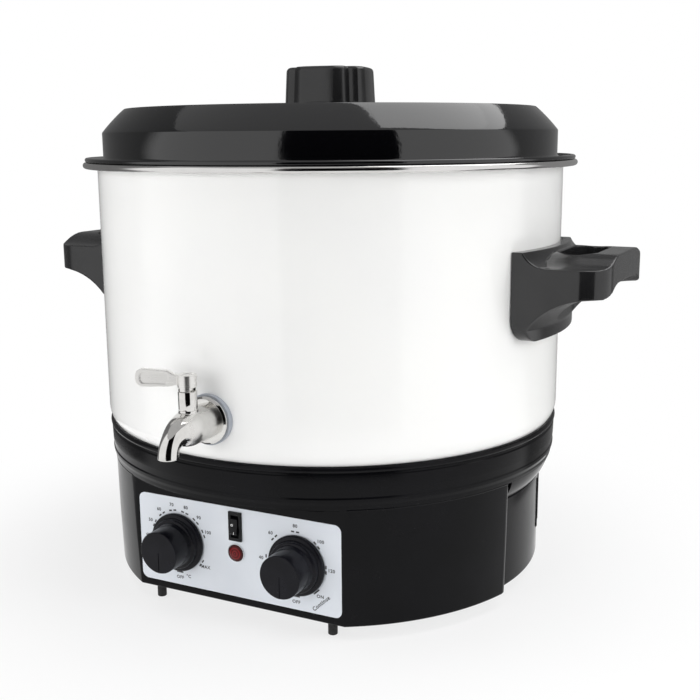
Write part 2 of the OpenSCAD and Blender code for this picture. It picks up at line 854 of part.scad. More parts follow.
module base_cavity() {
    low = foot_h - 1;
    union() {
        translate([0, 0, low]) linear_extrude(top_z - collar_h - 8 - low) base_plan(base_t);
        translate([0, 0, low]) linear_extrude(ledge_z - ledge_t - low) intersection() {
            circle(r = recess_r - base_t, $fn = 180);
            translate([-base_r, inner_y]) square(2 * base_r);
        }
        translate([0, 0, top_z - collar_h + 2])
            cylinder(r = base_r - base_t, h = ledge_z - ledge_t - top_z + collar_h - 2, $fn = 180);
        translate([0, 0, ledge_z - ledge_t - 1]) cylinder(r = ledge_in_r, h = 20, $fn = 180);
    }
}

module control_openings(y) {
    translate([-rocker_w / 2 + 0.8, y, rocker_z - rocker_h / 2 + 0.8])
        cube([rocker_w - 1.6, 12, rocker_h - 1.6]);
    translate([0, y, panel_z]) rod_y(lamp_hole_r, 12);
    for (s = [-1, 1]) translate([s * dial_x, y, panel_z]) rod_y(bush_r + clearance, 12);
}

module slot_places() {
    for (s = [0, 1], k = [0:slots - 1]) mirror([s, 0, 0])
        rotate([0, 0, -90 + 101 + 6 * k]) translate([recess_r, 0, foot_h + 21]) children();
}

module air_slots() {
    slot_places() translate([-base_t - 2, -1.5, 0]) cube([base_t + 5, 3, slot_h]);
}

// a low rib stands along one side of each air slot
module louvres() {
    slot_places() translate([-1.5, 1.6, 0]) cube([2.4, 1.4, slot_h]);
}

module bosses() {
    low = plate_z + plate_t;
    for (x = [-1, 1], y = [-1, 1]) translate([x * boss_at[0], y * boss_at[1], low]) difference() {
        cylinder(r = boss_r, h = ledge_z - ledge_t - low);
        translate([0, 0, -1]) cylinder(r = screw_r, h = screw_l + 2);
    }
}

module seal_ring() {
    r = pot_r - pot_corner_r - 1;
    color([0.3, 0.3, 0.3]) translate([0, 0, ledge_z]) tube(r, r - seal_w, seal_t);
}

module base_plate() {
    color("silver") difference() {
        translate([0, 0, plate_z]) linear_extrude(plate_t) base_plan(plate_inset);
        translate([0, 0, plate_z - 1]) cylinder(r = stud_hole_r, h = plate_t + 2);
        for (x = [-1, 1], y = [-1, 1]) translate([x * boss_at[0], y * boss_at[1], plate_z - 1])
            cylinder(r = screw_r + clearance, h = plate_t + 2);
        foot_places() translate([0, 0, plate_z - 1]) cylinder(r = foot_d / 2 - 0.9, h = plate_t + 2);
    }
}

module base_plate_screws() {
    color("silver") for (x = [-1, 1], y = [-1, 1])
        translate([x * boss_at[0], y * boss_at[1], plate_z - screw_head_t]) {
            cylinder(r = screw_head_r, h = screw_head_t);
            cylinder(r = screw_r, h = screw_head_t + screw_l);
        }
}

module base_nut() {
    color("silver") translate([0, 0, plate_z - nut_t]) hex_nut(nut_r, stud_d / 2, nut_t);
}

module foot_places() {
    for (x = [-1, 1]) {
        translate([x * foot_x, inner_y + foot_d / 2 + 1, 0]) children();
        translate([x * foot_x, sqrt(pow(recess_r - base_t - 6, 2) - foot_x * foot_x), 0]) children();
    }
}

module feet() {
    color([0.12, 0.12, 0.12]) foot_places() {
        cylinder(r = foot_d / 2, h = plate_z);
        cylinder(r = foot_d / 2 - 0.9, h = plate_z + plate_t + 2);
        translate([0, 0, plate_z + plate_t]) cylinder(r = foot_d / 2, h = 2.4);
    }
}

// ---------------------------------------------------------------- front panel
module control_panel() {
    color([0.82, 0.84, 0.87]) difference() {
        translate([0, panel_y, panel_z]) rounded_plate(panel_w, panel_h, panel_t, panel_corner);
        control_openings(panel_y - 1);
    }
}

module rocker_frame() {
    w = rocker_w;
    h = rocker_h;
    color([0.1, 0.1, 0.1]) translate([0, 0, rocker_z]) difference() {
        union() {
            translate([-w / 2, panel_y - rocker_proud, -h / 2]) cube([w, rocker_proud, h]);
            translate([-w / 2 + 0.8 + 0.1, panel_y - 0.5, -h / 2 + 0.8 + 0.1])
                cube([w - 1.8, rocker_body_d, h - 1.8]);
        }
        translate([-w / 2 + rocker_wall + 0.9, panel_y - rocker_proud - 1, -h / 2 + 2.4])
            cube([w - 2 * rocker_wall - 1.8, 1 + rocker_proud + 9, h - 4.8]);
        translate([-w / 2 + 0.3, panel_y + 2, 0]) rotate([0, 90, 0])
            cylinder(r = rocker_pin_r + running, h = w - 0.6);
    }
}

module rocker() {
    w = rocker_w - 2 * rocker_wall - 2.6;
    color([0.05, 0.05, 0.05]) translate([0, panel_y + 2, rocker_z]) rotate([-rocker_tilt, 0, 0]) union() {
        difference() {
            translate([-w / 2, 0, 0]) rotate([0, 90, 0]) cylinder(r = rocker_r - 1.6, h = w);
            // two shallow faces that meet at the middle
            for (s = [-1, 1]) rotate([s * rocker_tilt, 0, 0])
                translate([-w, -rocker_r - 16 + 4.4, s > 0 ? 0 : -20]) cube([2 * w, 16, 20]);
            translate([-w, 2.4, -20]) cube([2 * w, 20, 40]);
        }
        translate([-w / 2 - 1.2, 0, 0]) rotate([0, 90, 0]) cylinder(r = rocker_pin_r, h = w + 2.4);
    }
}

module lamp_ring() {
    color([0.75, 0.75, 0.76]) translate([0, panel_y - 1.2, panel_z]) difference() {
        rod_y(lamp_d / 2, 1.2);
        translate([0, -1, 0]) rod_y(lamp_lens_r, 4);
    }
}

module lamp_lens() {
    dome_r = 14;
    color([0.7, 0.12, 0.12]) translate([0, panel_y, panel_z]) union() {
        rod_y(lamp_hole_r - 0.3, 4.8);
        intersection() {
            translate([0, -2.4 + dome_r, 0]) sphere(r = dome_r);
            translate([0, -2.6, 0]) rod_y(lamp_lens_r, 2.6);
        }
    }
}

module lamp_body() {
    color("white") translate([0, panel_y + 4.8, panel_z]) rod_y(lamp_hole_r - 0.2, 16);
}

module dial(x) {
    grip_y = panel_y - dial_reach;
    y0 = panel_y - dial_gap;
    flange_r = dial_flange_d / 2;
    grip_r = dial_grip_d / 2;
    color([0.1, 0.1, 0.11]) translate([x, y0, panel_z]) rotate([90, 0, 0]) difference() {
        rotate_extrude() polygon([
            [0, 0], [flange_r, 0], [flange_r, dial_edge - 1], [flange_r - 1, dial_edge],
            [dial_step_r, dial_edge], [dial_step_r, dial_edge + dial_step_t - 1],
            [dial_step_r - 1, dial_edge + dial_step_t], [grip_r + 0.8, dial_edge + dial_step_t],
            [grip_r, y0 - grip_y - 1], [grip_r - 1, y0 - grip_y], [0, y0 - grip_y]
        ]);
        translate([0, 0, -1]) cylinder(r = shaft_r + running, h = dial_reach - 6);
        translate([0, 0, -1]) cylinder(r = bush_r + 3.4, h = 1 + bush_nut_t + 0.6);
        // index line
        translate([-0.4, -grip_r - 1, y0 - grip_y - 0.5]) cube([0.8, grip_r + 1, 1]);
    }
}

module dial_shaft(x, depth) {
    color("silver") translate([x, panel_y - dial_gap - dial_reach + 7.5, panel_z])
        rod_y(shaft_r, dial_reach - 7.5 + dial_gap + base_t + depth);
}

// body of a control: a box behind the front wall with a threaded bush that the shaft turns in
module control_body(x, w, d, shade) {
    bush_y = panel_y - bush_nut_t - 0.4;
    color(shade) translate([x, 0, panel_z]) difference() {
        union() {
            translate([-w / 2, inner_y, -w / 2]) cube([w, d, w]);
            translate([0, bush_y, 0]) rod_y(bush_r, inner_y - bush_y + 2);
        }
        translate([0, bush_y - 1, 0]) rod_y(shaft_r + running, inner_y - bush_y + d - 3);
    }
}

module bush_nut(x) {
    color("silver") translate([x, panel_y - bush_nut_t, panel_z])
        rotate([-90, 0, 0]) hex_nut(bush_r + 2.8, bush_r, bush_nut_t);
}

module thermostat_knob() { dial(-dial_x); }
module thermostat_shaft() { dial_shaft(-dial_x, thermostat_deep - 8); }
module thermostat_body() { control_body(-dial_x, thermostat_w, thermostat_deep, [0.85, 0.83, 0.78]); }
module thermostat_nut() { bush_nut(-dial_x); }
module timer_knob() { dial(dial_x); }
module timer_shaft() { dial_shaft(dial_x, timer_deep - 10); }
module timer_body() { control_body(dial_x, timer_w, timer_deep, [0.7, 0.7, 0.72]); }
module timer_nut() { bush_nut(dial_x); }

// ---------------------------------------------------------------- heater, under the pot's floor
module pot_stud() {
    color("silver") translate([0, 0, plate_z - nut_t - stud_low])
        cylinder(r = stud_d / 2, h = floor_z - plate_z + nut_t + stud_low);
}

module heat_spreader() {
    color([0.75, 0.76, 0.78]) translate([0, 0, floor_z - spreader_t])
        tube(spreader_d / 2, stud_hole_r, spreader_t);
}

module heating_element() {
    end_r = element_d / 2 - 0.6;
    r = element_ring_d / 2;
    color([0.45, 0.42, 0.4]) translate([0, 0, element_z]) union() {
        rotate_extrude() translate([r, 0]) circle(r = element_d / 2, $fn = 48);
        for (s = [-1, 1]) translate([s * element_end_x, sqrt(r * r - pow(element_end_x, 2)), -24])
            cylinder(r = end_r, h = 24);
    }
}

module element_clamp() {
    w = 16;
    color("silver") translate([0, 0, clamp_z]) difference() {
        translate([-element_ring_d / 2 - 8, -w / 2, 0]) cube([element_ring_d + 16, w, clamp_t]);
        translate([0, 0, -1]) cylinder(r = stud_hole_r, h = clamp_t + 2);
    }
}

module clamp_nut() {
    color("silver") translate([0, 0, clamp_z - nut_t]) hex_nut(nut_r, stud_d / 2, nut_t);
}

module heat_shield() {
    lead_r = element_d / 2 + 2;
    r = element_ring_d / 2;
    color("silver") translate([0, 0, shield_z]) difference() {
        cylinder(r = shield_r, h = shield_t);
        translate([0, 0, -1]) cylinder(r = stud_hole_r, h = 4);
        for (s = [-1, 1]) translate([s * element_end_x, sqrt(r * r - pow(element_end_x, 2)), -1])
            cylinder(r = lead_r, h = 4);
    }
}

module shield_nut() {
    color("silver") translate([0, 0, shield_z - nut_t]) hex_nut(nut_r, stud_d / 2, nut_t);
}

module sensor_bulb() {
    r = 3;
    l = 64;
    color([0.8, 0.5, 0.3]) translate([-l / 2, -30, floor_z - spreader_t - r])
        rotate([0, 90, 0]) cylinder(r = r, h = l);
}

module thermal_cutout() {
    color([0.9, 0.9, 0.88]) translate([0, 32, floor_z - spreader_t - 8]) union() {
        cylinder(r = 8, h = 8);
        for (s = [-1, 1]) translate([s * 4 - 1.2, -0.4, -7]) cube([2.4, 0.8, 8]);
    }
}

module terminal_block() {
    ways = 3;
    pitch = 12;
    color([0.93, 0.93, 0.9]) translate([-ways * pitch / 2, 90, plate_z + plate_t]) difference() {
        cube([ways * pitch, 18, 15]);
        for (k = [0:ways - 1]) translate([(k + 0.5) * pitch, -1, 6]) rod_y(2, 20);
    }
}

module cord_gland() {
    y = recess_r + clearance;
    color([0.12, 0.12, 0.12]) translate([0, 0, gland_z]) difference() {
        union() {
            translate([0, y, 0]) rod_y(gland_flange_r, gland_flange_t);
            translate([0, y - base_t - gland_nut_t - 3, 0]) rod_y(gland_r, base_t + gland_nut_t + 4);
        }
        translate([0, y - 20, 0]) rod_y(gland_bore_r, 30);
    }
}

module cord_gland_nut() {
    y = recess_r - base_t - gland_nut_t - 0.2;
    color([0.2, 0.2, 0.2]) translate([0, y, gland_z])
        rotate([-90, 0, 0]) hex_nut(gland_r + 3, gland_r, gland_nut_t);
}

pot();
rim_band();
lid();
lid_knob();
lid_knob_washer();
lid_knob_screw();
handle_left();
handle_right();
handle_brackets();
handle_screws();
tap_body();
tap_ring();
tap_gasket();
tap_inner_gasket();
tap_nut();
tap_bonnet();
tap_plug();
tap_lever();
tap_lever_screw();
base_housing();
seal_ring();
base_plate();
base_plate_screws();
base_nut();
feet();
control_panel();
rocker_frame();
rocker();
lamp_ring();
lamp_lens();
lamp_body();
thermostat_knob();
thermostat_shaft();
thermostat_body();
thermostat_nut();
timer_knob();
timer_shaft();
timer_body();
timer_nut();
pot_stud();
heat_spreader();
heating_element();
element_clamp();
clamp_nut();
heat_shield();
shield_nut();
sensor_bulb();
thermal_cutout();
terminal_block();
cord_gland();
cord_gland_nut();
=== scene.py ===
import cmath
import math

import bmesh
import bpy
import numpy as np
from mathutils import Matrix, Vector


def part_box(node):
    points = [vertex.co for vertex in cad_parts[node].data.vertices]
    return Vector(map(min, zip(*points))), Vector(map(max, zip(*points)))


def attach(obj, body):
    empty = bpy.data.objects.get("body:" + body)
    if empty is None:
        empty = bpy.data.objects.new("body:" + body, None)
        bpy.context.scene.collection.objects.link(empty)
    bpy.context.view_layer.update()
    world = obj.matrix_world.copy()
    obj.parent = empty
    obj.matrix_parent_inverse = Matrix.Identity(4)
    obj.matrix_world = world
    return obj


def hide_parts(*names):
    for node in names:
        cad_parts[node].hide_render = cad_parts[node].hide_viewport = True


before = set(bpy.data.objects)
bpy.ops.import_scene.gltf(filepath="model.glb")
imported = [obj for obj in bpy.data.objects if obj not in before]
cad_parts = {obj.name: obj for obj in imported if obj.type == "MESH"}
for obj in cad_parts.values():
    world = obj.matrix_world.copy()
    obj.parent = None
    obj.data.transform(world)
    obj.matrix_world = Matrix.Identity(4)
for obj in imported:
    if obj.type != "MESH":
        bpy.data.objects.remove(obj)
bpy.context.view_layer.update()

# ---- Camera ----
# Seen from the front right and a little above, as a catalogue picture is taken: a standing camera
# a bit under a metre away, tipped down to look at the middle of the drum.
MM = 0.001
camera_at = (378.7, -726.9, 331.3)
view_turn = math.radians(26.58)
view_tip = math.radians(11.5)
view_roll = math.radians(-0.42)
focal_px = 1050.5
frame_px = 700
film_mm = 36


def placed(name, data):
    """A new object in the scene."""
    piece = bpy.data.objects.new(name, data)
    bpy.context.scene.collection.objects.link(piece)
    return piece


forward = Vector((-math.sin(view_turn) * math.cos(view_tip), math.cos(view_turn) * math.cos(view_tip),
                  -math.sin(view_tip)))
level = Vector((math.cos(view_turn), math.sin(view_turn), 0))
upright = level.cross(forward)
right = level * math.cos(view_roll) + upright * math.sin(view_roll)
up = upright * math.cos(view_roll) - level * math.sin(view_roll)
film = bpy.data.cameras.new("camera")
film.sensor_width = film_mm
film.lens = focal_px / frame_px * film_mm
film.clip_start = 0.05
camera = placed("camera", film)
camera.matrix_world = (Matrix.Translation([c * MM for c in camera_at])
                       @ Matrix((right, up, -forward)).transposed().to_4x4())
bpy.context.scene.camera = camera
bpy.context.scene.view_settings.view_transform = "Standard"


# ---- Studio ----
# A white tent. World and table are plain white to the camera and in mirrors, and give every other
# ray the tent's shaded light. Dark cloths, seen only in mirrors, put the black bands on gloss.
class Wire:
    """A socket in a finish. Arithmetic on wires adds Math nodes; node() adds any other node."""

    def __init__(self, tree, socket=None):
        self.tree = tree
        self.socket = socket

    def feed(self, socket, value):
        if isinstance(value, Wire):
            self.tree.links.new(value.socket, socket)
        else:
            socket.default_value = value

    def node(self, kind, settings=None, inputs=None, out=0):
        made = self.tree.nodes.new(kind)
        for key, value in (settings or {}).items():
            setattr(made, key, value)
        for key, value in (inputs or {}).items():
            self.feed(made.inputs[key], value)
        return Wire(self.tree, made.outputs[out] if made.outputs else None)

    def maths(self, operation, *values):
        return self.node("ShaderNodeMath", {"operation": operation}, dict(enumerate(values)))

    def __add__(self, other):
        return self.maths("ADD", self, other)

    __radd__ = __add__

    def __sub__(self, other):
        return self.maths("SUBTRACT", self, other)

    def __rsub__(self, other):
        return self.maths("SUBTRACT", other, self)

    def __mul__(self, other):
        return self.maths("MULTIPLY", self, other)

    __rmul__ = __mul__

    def __pow__(self, other):
        return self.maths("POWER", self, other)

    def between(self, low, high):
        """0 below low, 1 above high, with a soft change between them."""
        return self.node("ShaderNodeMapRange", {"interpolation_type": "SMOOTHSTEP"},
                         {"Value": self, "From Min": low, "From Max": high})

    def mix(self, first, second):
        """A colour from first, where this wire is 0, to second, where it is 1."""
        return self.node("ShaderNodeMix", {"data_type": "RGBA"}, {0: self, 6: first, 7: second}, out=2)

    def axes(self):
        """The x, y and z of a place or a direction."""
        split = self.node("ShaderNodeSeparateXYZ", inputs={0: self})
        return [Wire(self.tree, axis) for axis in split.socket.node.outputs]


def shade(*rgb):
    return (*rgb, 1.0) if len(rgb) == 3 else (rgb[0], rgb[0], rgb[0], 1.0)


def bare(owner):
    """A wire to start from in a world or material whose ready-made nodes are thrown away."""
    owner.use_nodes = True
    owner.node_tree.nodes.clear()
    return Wire(owner.node_tree)


def white_rays(start):
    """1 for rays that meet plain white: from the camera, off mirrors and through glass."""
    rays = start.node("ShaderNodeLightPath").socket.node.outputs
    seen, mirrored, through = (Wire(start.tree, rays[kind]) for kind in (
        "Is Camera Ray", "Is Glossy Ray", "Is Transmission Ray"))
    return seen.maths("MINIMUM", seen + mirrored + through, 1.0)


def compass(way):
    """Degrees round the object, 0 at its front and growing towards its right."""
    x, y = way.axes()[:2]
    return x.maths("ARCTAN2", x, y * -1) * (180 / math.pi)


def light_tent():
    """The tent's light: dimmer behind, far left and high up, and dark in the camera's gap."""
    world = bpy.data.worlds.new("light_tent")
    bpy.context.scene.world = world
    start = bare(world)
    way = start.node("ShaderNodeTexCoord")
    turn = compass(way)
    height = way.axes()[2]
    soft = 3
    gap = (turn.between(gap_left - soft, gap_left + soft)
           * (1 - turn.between(gap_right - soft, gap_right + soft)))
    behind = turn.maths("ABSOLUTE", turn).between(118, 150)
    far_left = 1 - turn.between(-112, -92)
    high = height.between(0.30, 0.62)
    overhead = height.between(0.72, 0.86)
    wall = (1 - gap * 0.98) * (1 - behind * 0.40) * (1 - far_left * 0.50)
    bright = wall * (0.90 - high * 0.70) + overhead * 0.45
    colour = bright.node("ShaderNodeCombineXYZ", inputs={0: bright, 1: bright, 2: bright * 1.01})
    plain = white_rays(start).mix(colour, shade(1.0))
    glow = start.node("ShaderNodeBackground", inputs={"Color": plain, "Strength": 1.0})
    start.node("ShaderNodeOutputWorld", inputs={"Surface": glow})


def soft_box(name, place, target, size, watts, mirrored=False):
    lamp = bpy.data.lights.new(name, "AREA")
    lamp.shape = "RECTANGLE"
    lamp.size, lamp.size_y = size
    lamp.energy = watts
    box = placed(name, lamp)
    box.visible_glossy = mirrored
    aim = (Vector(target) - Vector(place)).to_track_quat("-Z", "Y")
    box.matrix_world = Matrix.Translation(place) @ aim.to_matrix().to_4x4()


def dark_cloth(name, first, last, soft, depth, foot=(2.3, -2.5), head=(2.3, 2.6)):
    """Cloth hung between two compass angles, which only mirrors see, as the dark room round a tent.
    It hangs from its head (radius, height) to its foot, and depth 0 to 1 says how dark it is."""
    mesh = bpy.data.meshes.new(name)
    steps = 24
    points = []
    for n in range(steps + 1):
        angle = math.radians(first - soft + (last - first + 2 * soft) * n / steps)
        points += [(r * math.sin(angle), -r * math.cos(angle), z) for r, z in (foot, head)]
    mesh.from_pydata(points, [], [(2 * n, 2 * n + 2, 2 * n + 3, 2 * n + 1) for n in range(steps)])
    curtain = placed(name, mesh)
    for ray in ("camera", "diffuse", "transmission", "shadow"):
        setattr(curtain, "visible_" + ray, False)
    cloth = bpy.data.materials.new(name)
    start = bare(cloth)
    turn = compass(start.node("ShaderNodeTexCoord", out=3))
    black = turn.between(first - soft, first) * (1 - turn.between(last, last + soft)) * depth
    clear = start.node("ShaderNodeBsdfTransparent")
    felt = start.node("ShaderNodeBsdfDiffuse", inputs={"Color": shade(0.004)})
    both = start.node("ShaderNodeMixShader", inputs={0: black, 1: clear, 2: felt})
    start.node("ShaderNodeOutputMaterial", inputs={"Surface": both})
    mesh.materials.append(cloth)


def pale_table():
    """A matt table that pales outwards into the white background. It ends short of the camera, in
    the tent's gap, so steel shows the dark room in a narrow band there."""
    near, wide = 0.56, 6.0
    steps = 120
    mesh = bpy.data.meshes.new("table")
    rim = [(near if gap_left < math.degrees(a) < gap_right else wide, a)
           for a in (2 * math.pi * n / steps for n in range(steps))]
    mesh.from_pydata([(0, 0, 0)] + [(r * math.sin(a), -r * math.cos(a), 0) for r, a in rim], [],
                     [(0, n + 1, (n + 1) % steps + 1) for n in range(steps)])
    table = placed("table", mesh)
    paint = bpy.data.materials.new("table_white")
    start = bare(paint)
    where = start.node("ShaderNodeTexCoord", out=3)
    far = where.node("ShaderNodeVectorMath", {"operation": "LENGTH"}, {0: where}, out=1)
    matt = start.node("ShaderNodeBsdfDiffuse", inputs={"Color": shade(0.80)})
    white = start.node("ShaderNodeEmission", inputs={"Color": shade(1.0), "Strength": 1.0})
    fade = white_rays(start) * (0.72 + 0.28 * far.between(0.20, 0.42))
    both = start.node("ShaderNodeMixShader", inputs={0: fade, 1: matt, 2: white})
    start.node("ShaderNodeOutputMaterial", inputs={"Surface": both})
    mesh.materials.append(paint)


gap_left, gap_right = 5, 58
back_left, back_right = -66, 118
light_tent()
soft_box("box_overhead", (0.15, -0.15, 1.65), (0, 0, 0.3), (1.3, 1.0), watts=9)
soft_box("box_back", (0.45, 0.60, 1.60), (0, 0, 0.3), (1.2, 1.2), watts=9.5, mirrored=True)
soft_box("box_left", (-1.5, -0.75, 0.75), (0, 0, 0.2), (0.7, 1.3), watts=6.5)
soft_box("box_right", (1.6, 0.0, 0.8), (0, 0, 0.2), (0.9, 1.3), watts=14)
soft_box("box_front", (0.25, -1.9, 0.45), (0, 0, 0.05), (1.2, 0.9), watts=7.5)
soft_box("window", (-0.30, -1.45, 0.42), (0, 0, 0.25), (0.6, 0.8), watts=3.4)
dark_cloth("cloth_camera", gap_left, gap_right, soft=1.5, depth=1.0)
dark_cloth("cloth_left", -180, back_left, soft=14, depth=0.82, foot=(0.42, 0.001))
dark_cloth("cloth_right", back_right, 180, soft=9, depth=0.74, foot=(0.30, 0.001))
dark_cloth("cloth_ceiling", -180, 180, soft=0.1, depth=0.50, foot=(2.31, 2.6), head=(0.01, 2.6))
pale_table()


# ---- Drum ----
# A deep drawn steel drum with a rounded floor, enamelled glossy white inside and out. Its top edge
# is turned outwards and the tap's tail passes through the wall low at the front.
def rounded(corners, steps=7, closed=True):
    """An outline through corners (a, b, radius), each rounded with an arc of its radius."""
    count = len(corners)
    spots = [complex(a, b) for a, b, radius in corners]
    line = []
    for k, (a, b, radius) in enumerate(corners):
        if radius == 0 or (not closed and k in (0, count - 1)):
            line.append((a, b))
            continue
        here = spots[k]
        back, ahead = spots[k - 1] - here, spots[(k + 1) % count] - here
        back, ahead = back / abs(back), ahead / abs(ahead)
        half = abs(cmath.phase(back / ahead)) / 2
        middle = (back + ahead) / abs(back + ahead)
        centre = here + middle * radius / math.sin(half)
        first, last = (here + way * radius / math.tan(half) - centre for way in (back, ahead))
        sweep = cmath.phase(last / first)
        for n in range(steps + 1):
            spot = centre + first * cmath.rect(1, sweep * n / steps)
            line.append((spot.real, spot.imag))
    return line


def smooth(mesh, crease):
    """Soft shading, but sharp where two faces meet at more than crease degrees."""
    mesh.shade_smooth()
    mesh.set_sharp_from_angle(angle=math.radians(crease))


def made_mesh(name, points, faces, crease=40):
    mesh = bpy.data.meshes.new(name)
    mesh.from_pydata([tuple(p) for p in points], [], faces)
    mesh.validate()
    work = bmesh.new()
    work.from_mesh(mesh)
    bmesh.ops.remove_doubles(work, verts=work.verts, dist=1e-6)
    bmesh.ops.recalc_face_normals(work, faces=work.faces)
    work.to_mesh(mesh)
    work.free()
    smooth(mesh, crease)
    return placed(name, mesh)


def turned(name, outline, centre=(0, 0, 0), axis="z", steps=256, crease=40):
    """A turned piece: a closed outline of (radius, height) in mm, spun round an axis."""
    outline = [(max(r, 0) * MM, h * MM) for r, h in outline]
    count = len(outline)
    points = []
    for n in range(steps):
        angle = 2 * math.pi * n / steps
        for r, h in outline:
            if axis == "z":
                points.append((r * math.cos(angle), r * math.sin(angle), h))
            else:
                points.append((r * math.cos(angle), h, r * math.sin(angle)))
    points = np.array(points) + np.array(centre)
    faces = []
    for n in range(steps):
        here, after = n * count, (n + 1) % steps * count
        for k in range(count):
            m = (k + 1) % count
            if outline[k][0] == 0 and outline[m][0] == 0:
                continue
            faces.append((here + k, here + m, after + m, after + k))
    return made_mesh(name, points, faces, crease)


def finish(name, colour, rough, metal=0.0, specular=0.5):
    """A new finish: its material, main shader and a wire of places on the piece. The colour and
    roughness are plain ones, for what reads a material without its patterns."""
    material = bpy.data.materials.new(name)
    material.use_nodes = True
    tree = material.node_tree
    main = tree.nodes["Principled BSDF"]
    main.inputs["Base Color"].default_value = shade(*colour)
    main.inputs["Roughness"].default_value = rough
    main.inputs["Metallic"].default_value = metal
    main.inputs["Specular IOR Level"].default_value = specular
    where = Wire(tree).node("ShaderNodeTexCoord", out=3)
    return material, main, where


def clouds(where, scale, detail=3.0, rough=0.55):
    """Soft noise about 0.5, with blotches 1 / scale metres across."""
    return where.node("ShaderNodeTexNoise", inputs={"Vector": where, "Scale": scale,
                                                    "Detail": detail, "Roughness": rough})


def join_to(main, socket, wire):
    wire.feed(main.inputs[socket], wire)


def mottle(main, patches, first, second):
    """Two close colours: first where patches is 0, second where it is 1."""
    join_to(main, "Base Color", patches.mix(shade(*first), shade(*second)))


def relief(main, height, strength, distance):
    join_to(main, "Normal", height.node("ShaderNodeBump", inputs={
        "Height": height, "Strength": strength, "Distance": distance}))


def white_enamel():
    # fired enamel: very slight clouding, a faint ripple and a few dull patches from handling
    material, main, where = finish("white_enamel", (0.86, 0.86, 0.85), 0.10)
    mottle(main, clouds(where, 9).between(0.35, 0.7), (0.875, 0.875, 0.86), (0.855, 0.855, 0.845))
    join_to(main, "Roughness", 0.07 + 0.07 * clouds(where, 26).between(0.4, 0.8))
    ripple = clouds(where, 60, 2.0) + 0.25 * clouds(where, 420, 1.0)
    relief(main, ripple, 0.10, 0.0005)
    return material


enamel = white_enamel()
drum_r = 175.0
drum_floor, drum_top = (corner.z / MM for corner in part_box("pot"))
sheet = 1.2
floor_round = 18.0
turn_out = 7.0
drum = turned("drum", rounded([
    (0, drum_floor, 0), (drum_r, drum_floor, floor_round), (drum_r, drum_top - sheet, 0.6),
    (drum_r + turn_out, drum_top - sheet, 0.5), (drum_r + turn_out, drum_top, 0.5),
    (drum_r - sheet, drum_top, 1.2), (drum_r - sheet, drum_floor + sheet, floor_round - sheet),
    (0, drum_floor + sheet, 0)], steps=10), steps=320)
drum.data.materials.append(enamel)
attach(drum, "appliance")
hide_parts("pot")


# ---- Rim band ----
# A bright stainless strip rolled over the drum's turned-out edge. It is polished all round, with
# hairlines that follow the rolling.
def drawn_out(where, scale):
    """Places squeezed by unequal scales, which draw the noise on them out along the least one."""
    return where.node("ShaderNodeMapping", inputs={"Vector": where, "Scale": scale})


def bright_steel(name, colour=(0.74, 0.73, 0.72), rough=0.16, lines=0.10):
    material, main, where = finish(name, colour, rough, metal=1.0)
    hairline = clouds(drawn_out(where, (60, 60, 2400)), 1.0, 2.0, rough=0.5)
    join_to(main, "Roughness", rough + lines * (hairline - 0.5) + 0.05 * clouds(where, 70))
    darker = tuple(0.9 * c for c in colour)
    mottle(main, clouds(where, 22).between(0.3, 0.75), colour, darker)
    return material


rim_steel = bright_steel("rim_steel", rough=0.12)
rim_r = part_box("rim_band")[1].x / MM
rim_low, rim_top = (corner.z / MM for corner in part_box("rim_band"))
rim_mid = (rim_low + rim_top) / 2
roll = (rim_top - rim_low) / 2
bead = [(rim_r - roll + roll * math.cos(a), rim_mid + roll * math.sin(a))
        for a in np.linspace(-math.pi / 2, math.pi / 2, 13)]
rim = turned("rim_band_rolled", [(drum_r + 0.3, rim_low + 0.5), (drum_r + 0.8, rim_low)] + bead
             + [(drum_r + 0.8, rim_top), (drum_r + 0.3, rim_top - 0.4)], steps=320)
rim.data.materials.append(rim_steel)
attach(rim, "appliance")
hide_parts("rim_band")


# ---- Lid ----
# A pressed steel lid in glossy black enamel: a rolled flange that rests on the rim, an upright
# wall, a sloping shoulder with soft edges and an almost flat top. A skirt inside keeps it centred.
def black_enamel():
    material, main, where = finish("black_enamel", (0.0015, 0.0015, 0.002), 0.10, specular=0.80)
    join_to(main, "Roughness", 0.06 + 0.08 * clouds(where, 18).between(0.42, 0.75))
    fleck = clouds(where, 2600, 1.0).between(0.70, 0.80)
    mottle(main, fleck, (0.0015, 0.0015, 0.002), (0.012, 0.012, 0.015))
    ripple = clouds(where, 45, 2.0) + 0.3 * clouds(where, 500, 1.0)
    relief(main, ripple, 0.12, 0.0005)
    return material


lid_black = black_enamel()
lid_low, lid_high = (corner.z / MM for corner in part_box("lid"))
lid_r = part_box("lid")[1].x / MM
lid_wall_r = 170.4
lid_rest = rim_top
shoulder_w, shoulder_h = 16.5, 17.0
bulge = 1.85
crown = 0.5
roll_r = 1.6


def lid_shoulder(inset):
    wide, tall = shoulder_w + 0.4 * inset, shoulder_h + 0.4 * inset
    return [(lid_wall_r - inset - wide + wide * math.cos(a) ** bulge,
             lid_high - inset - crown - tall + tall * math.sin(a) ** bulge)
            for a in np.linspace(0, math.pi / 2, 22)]


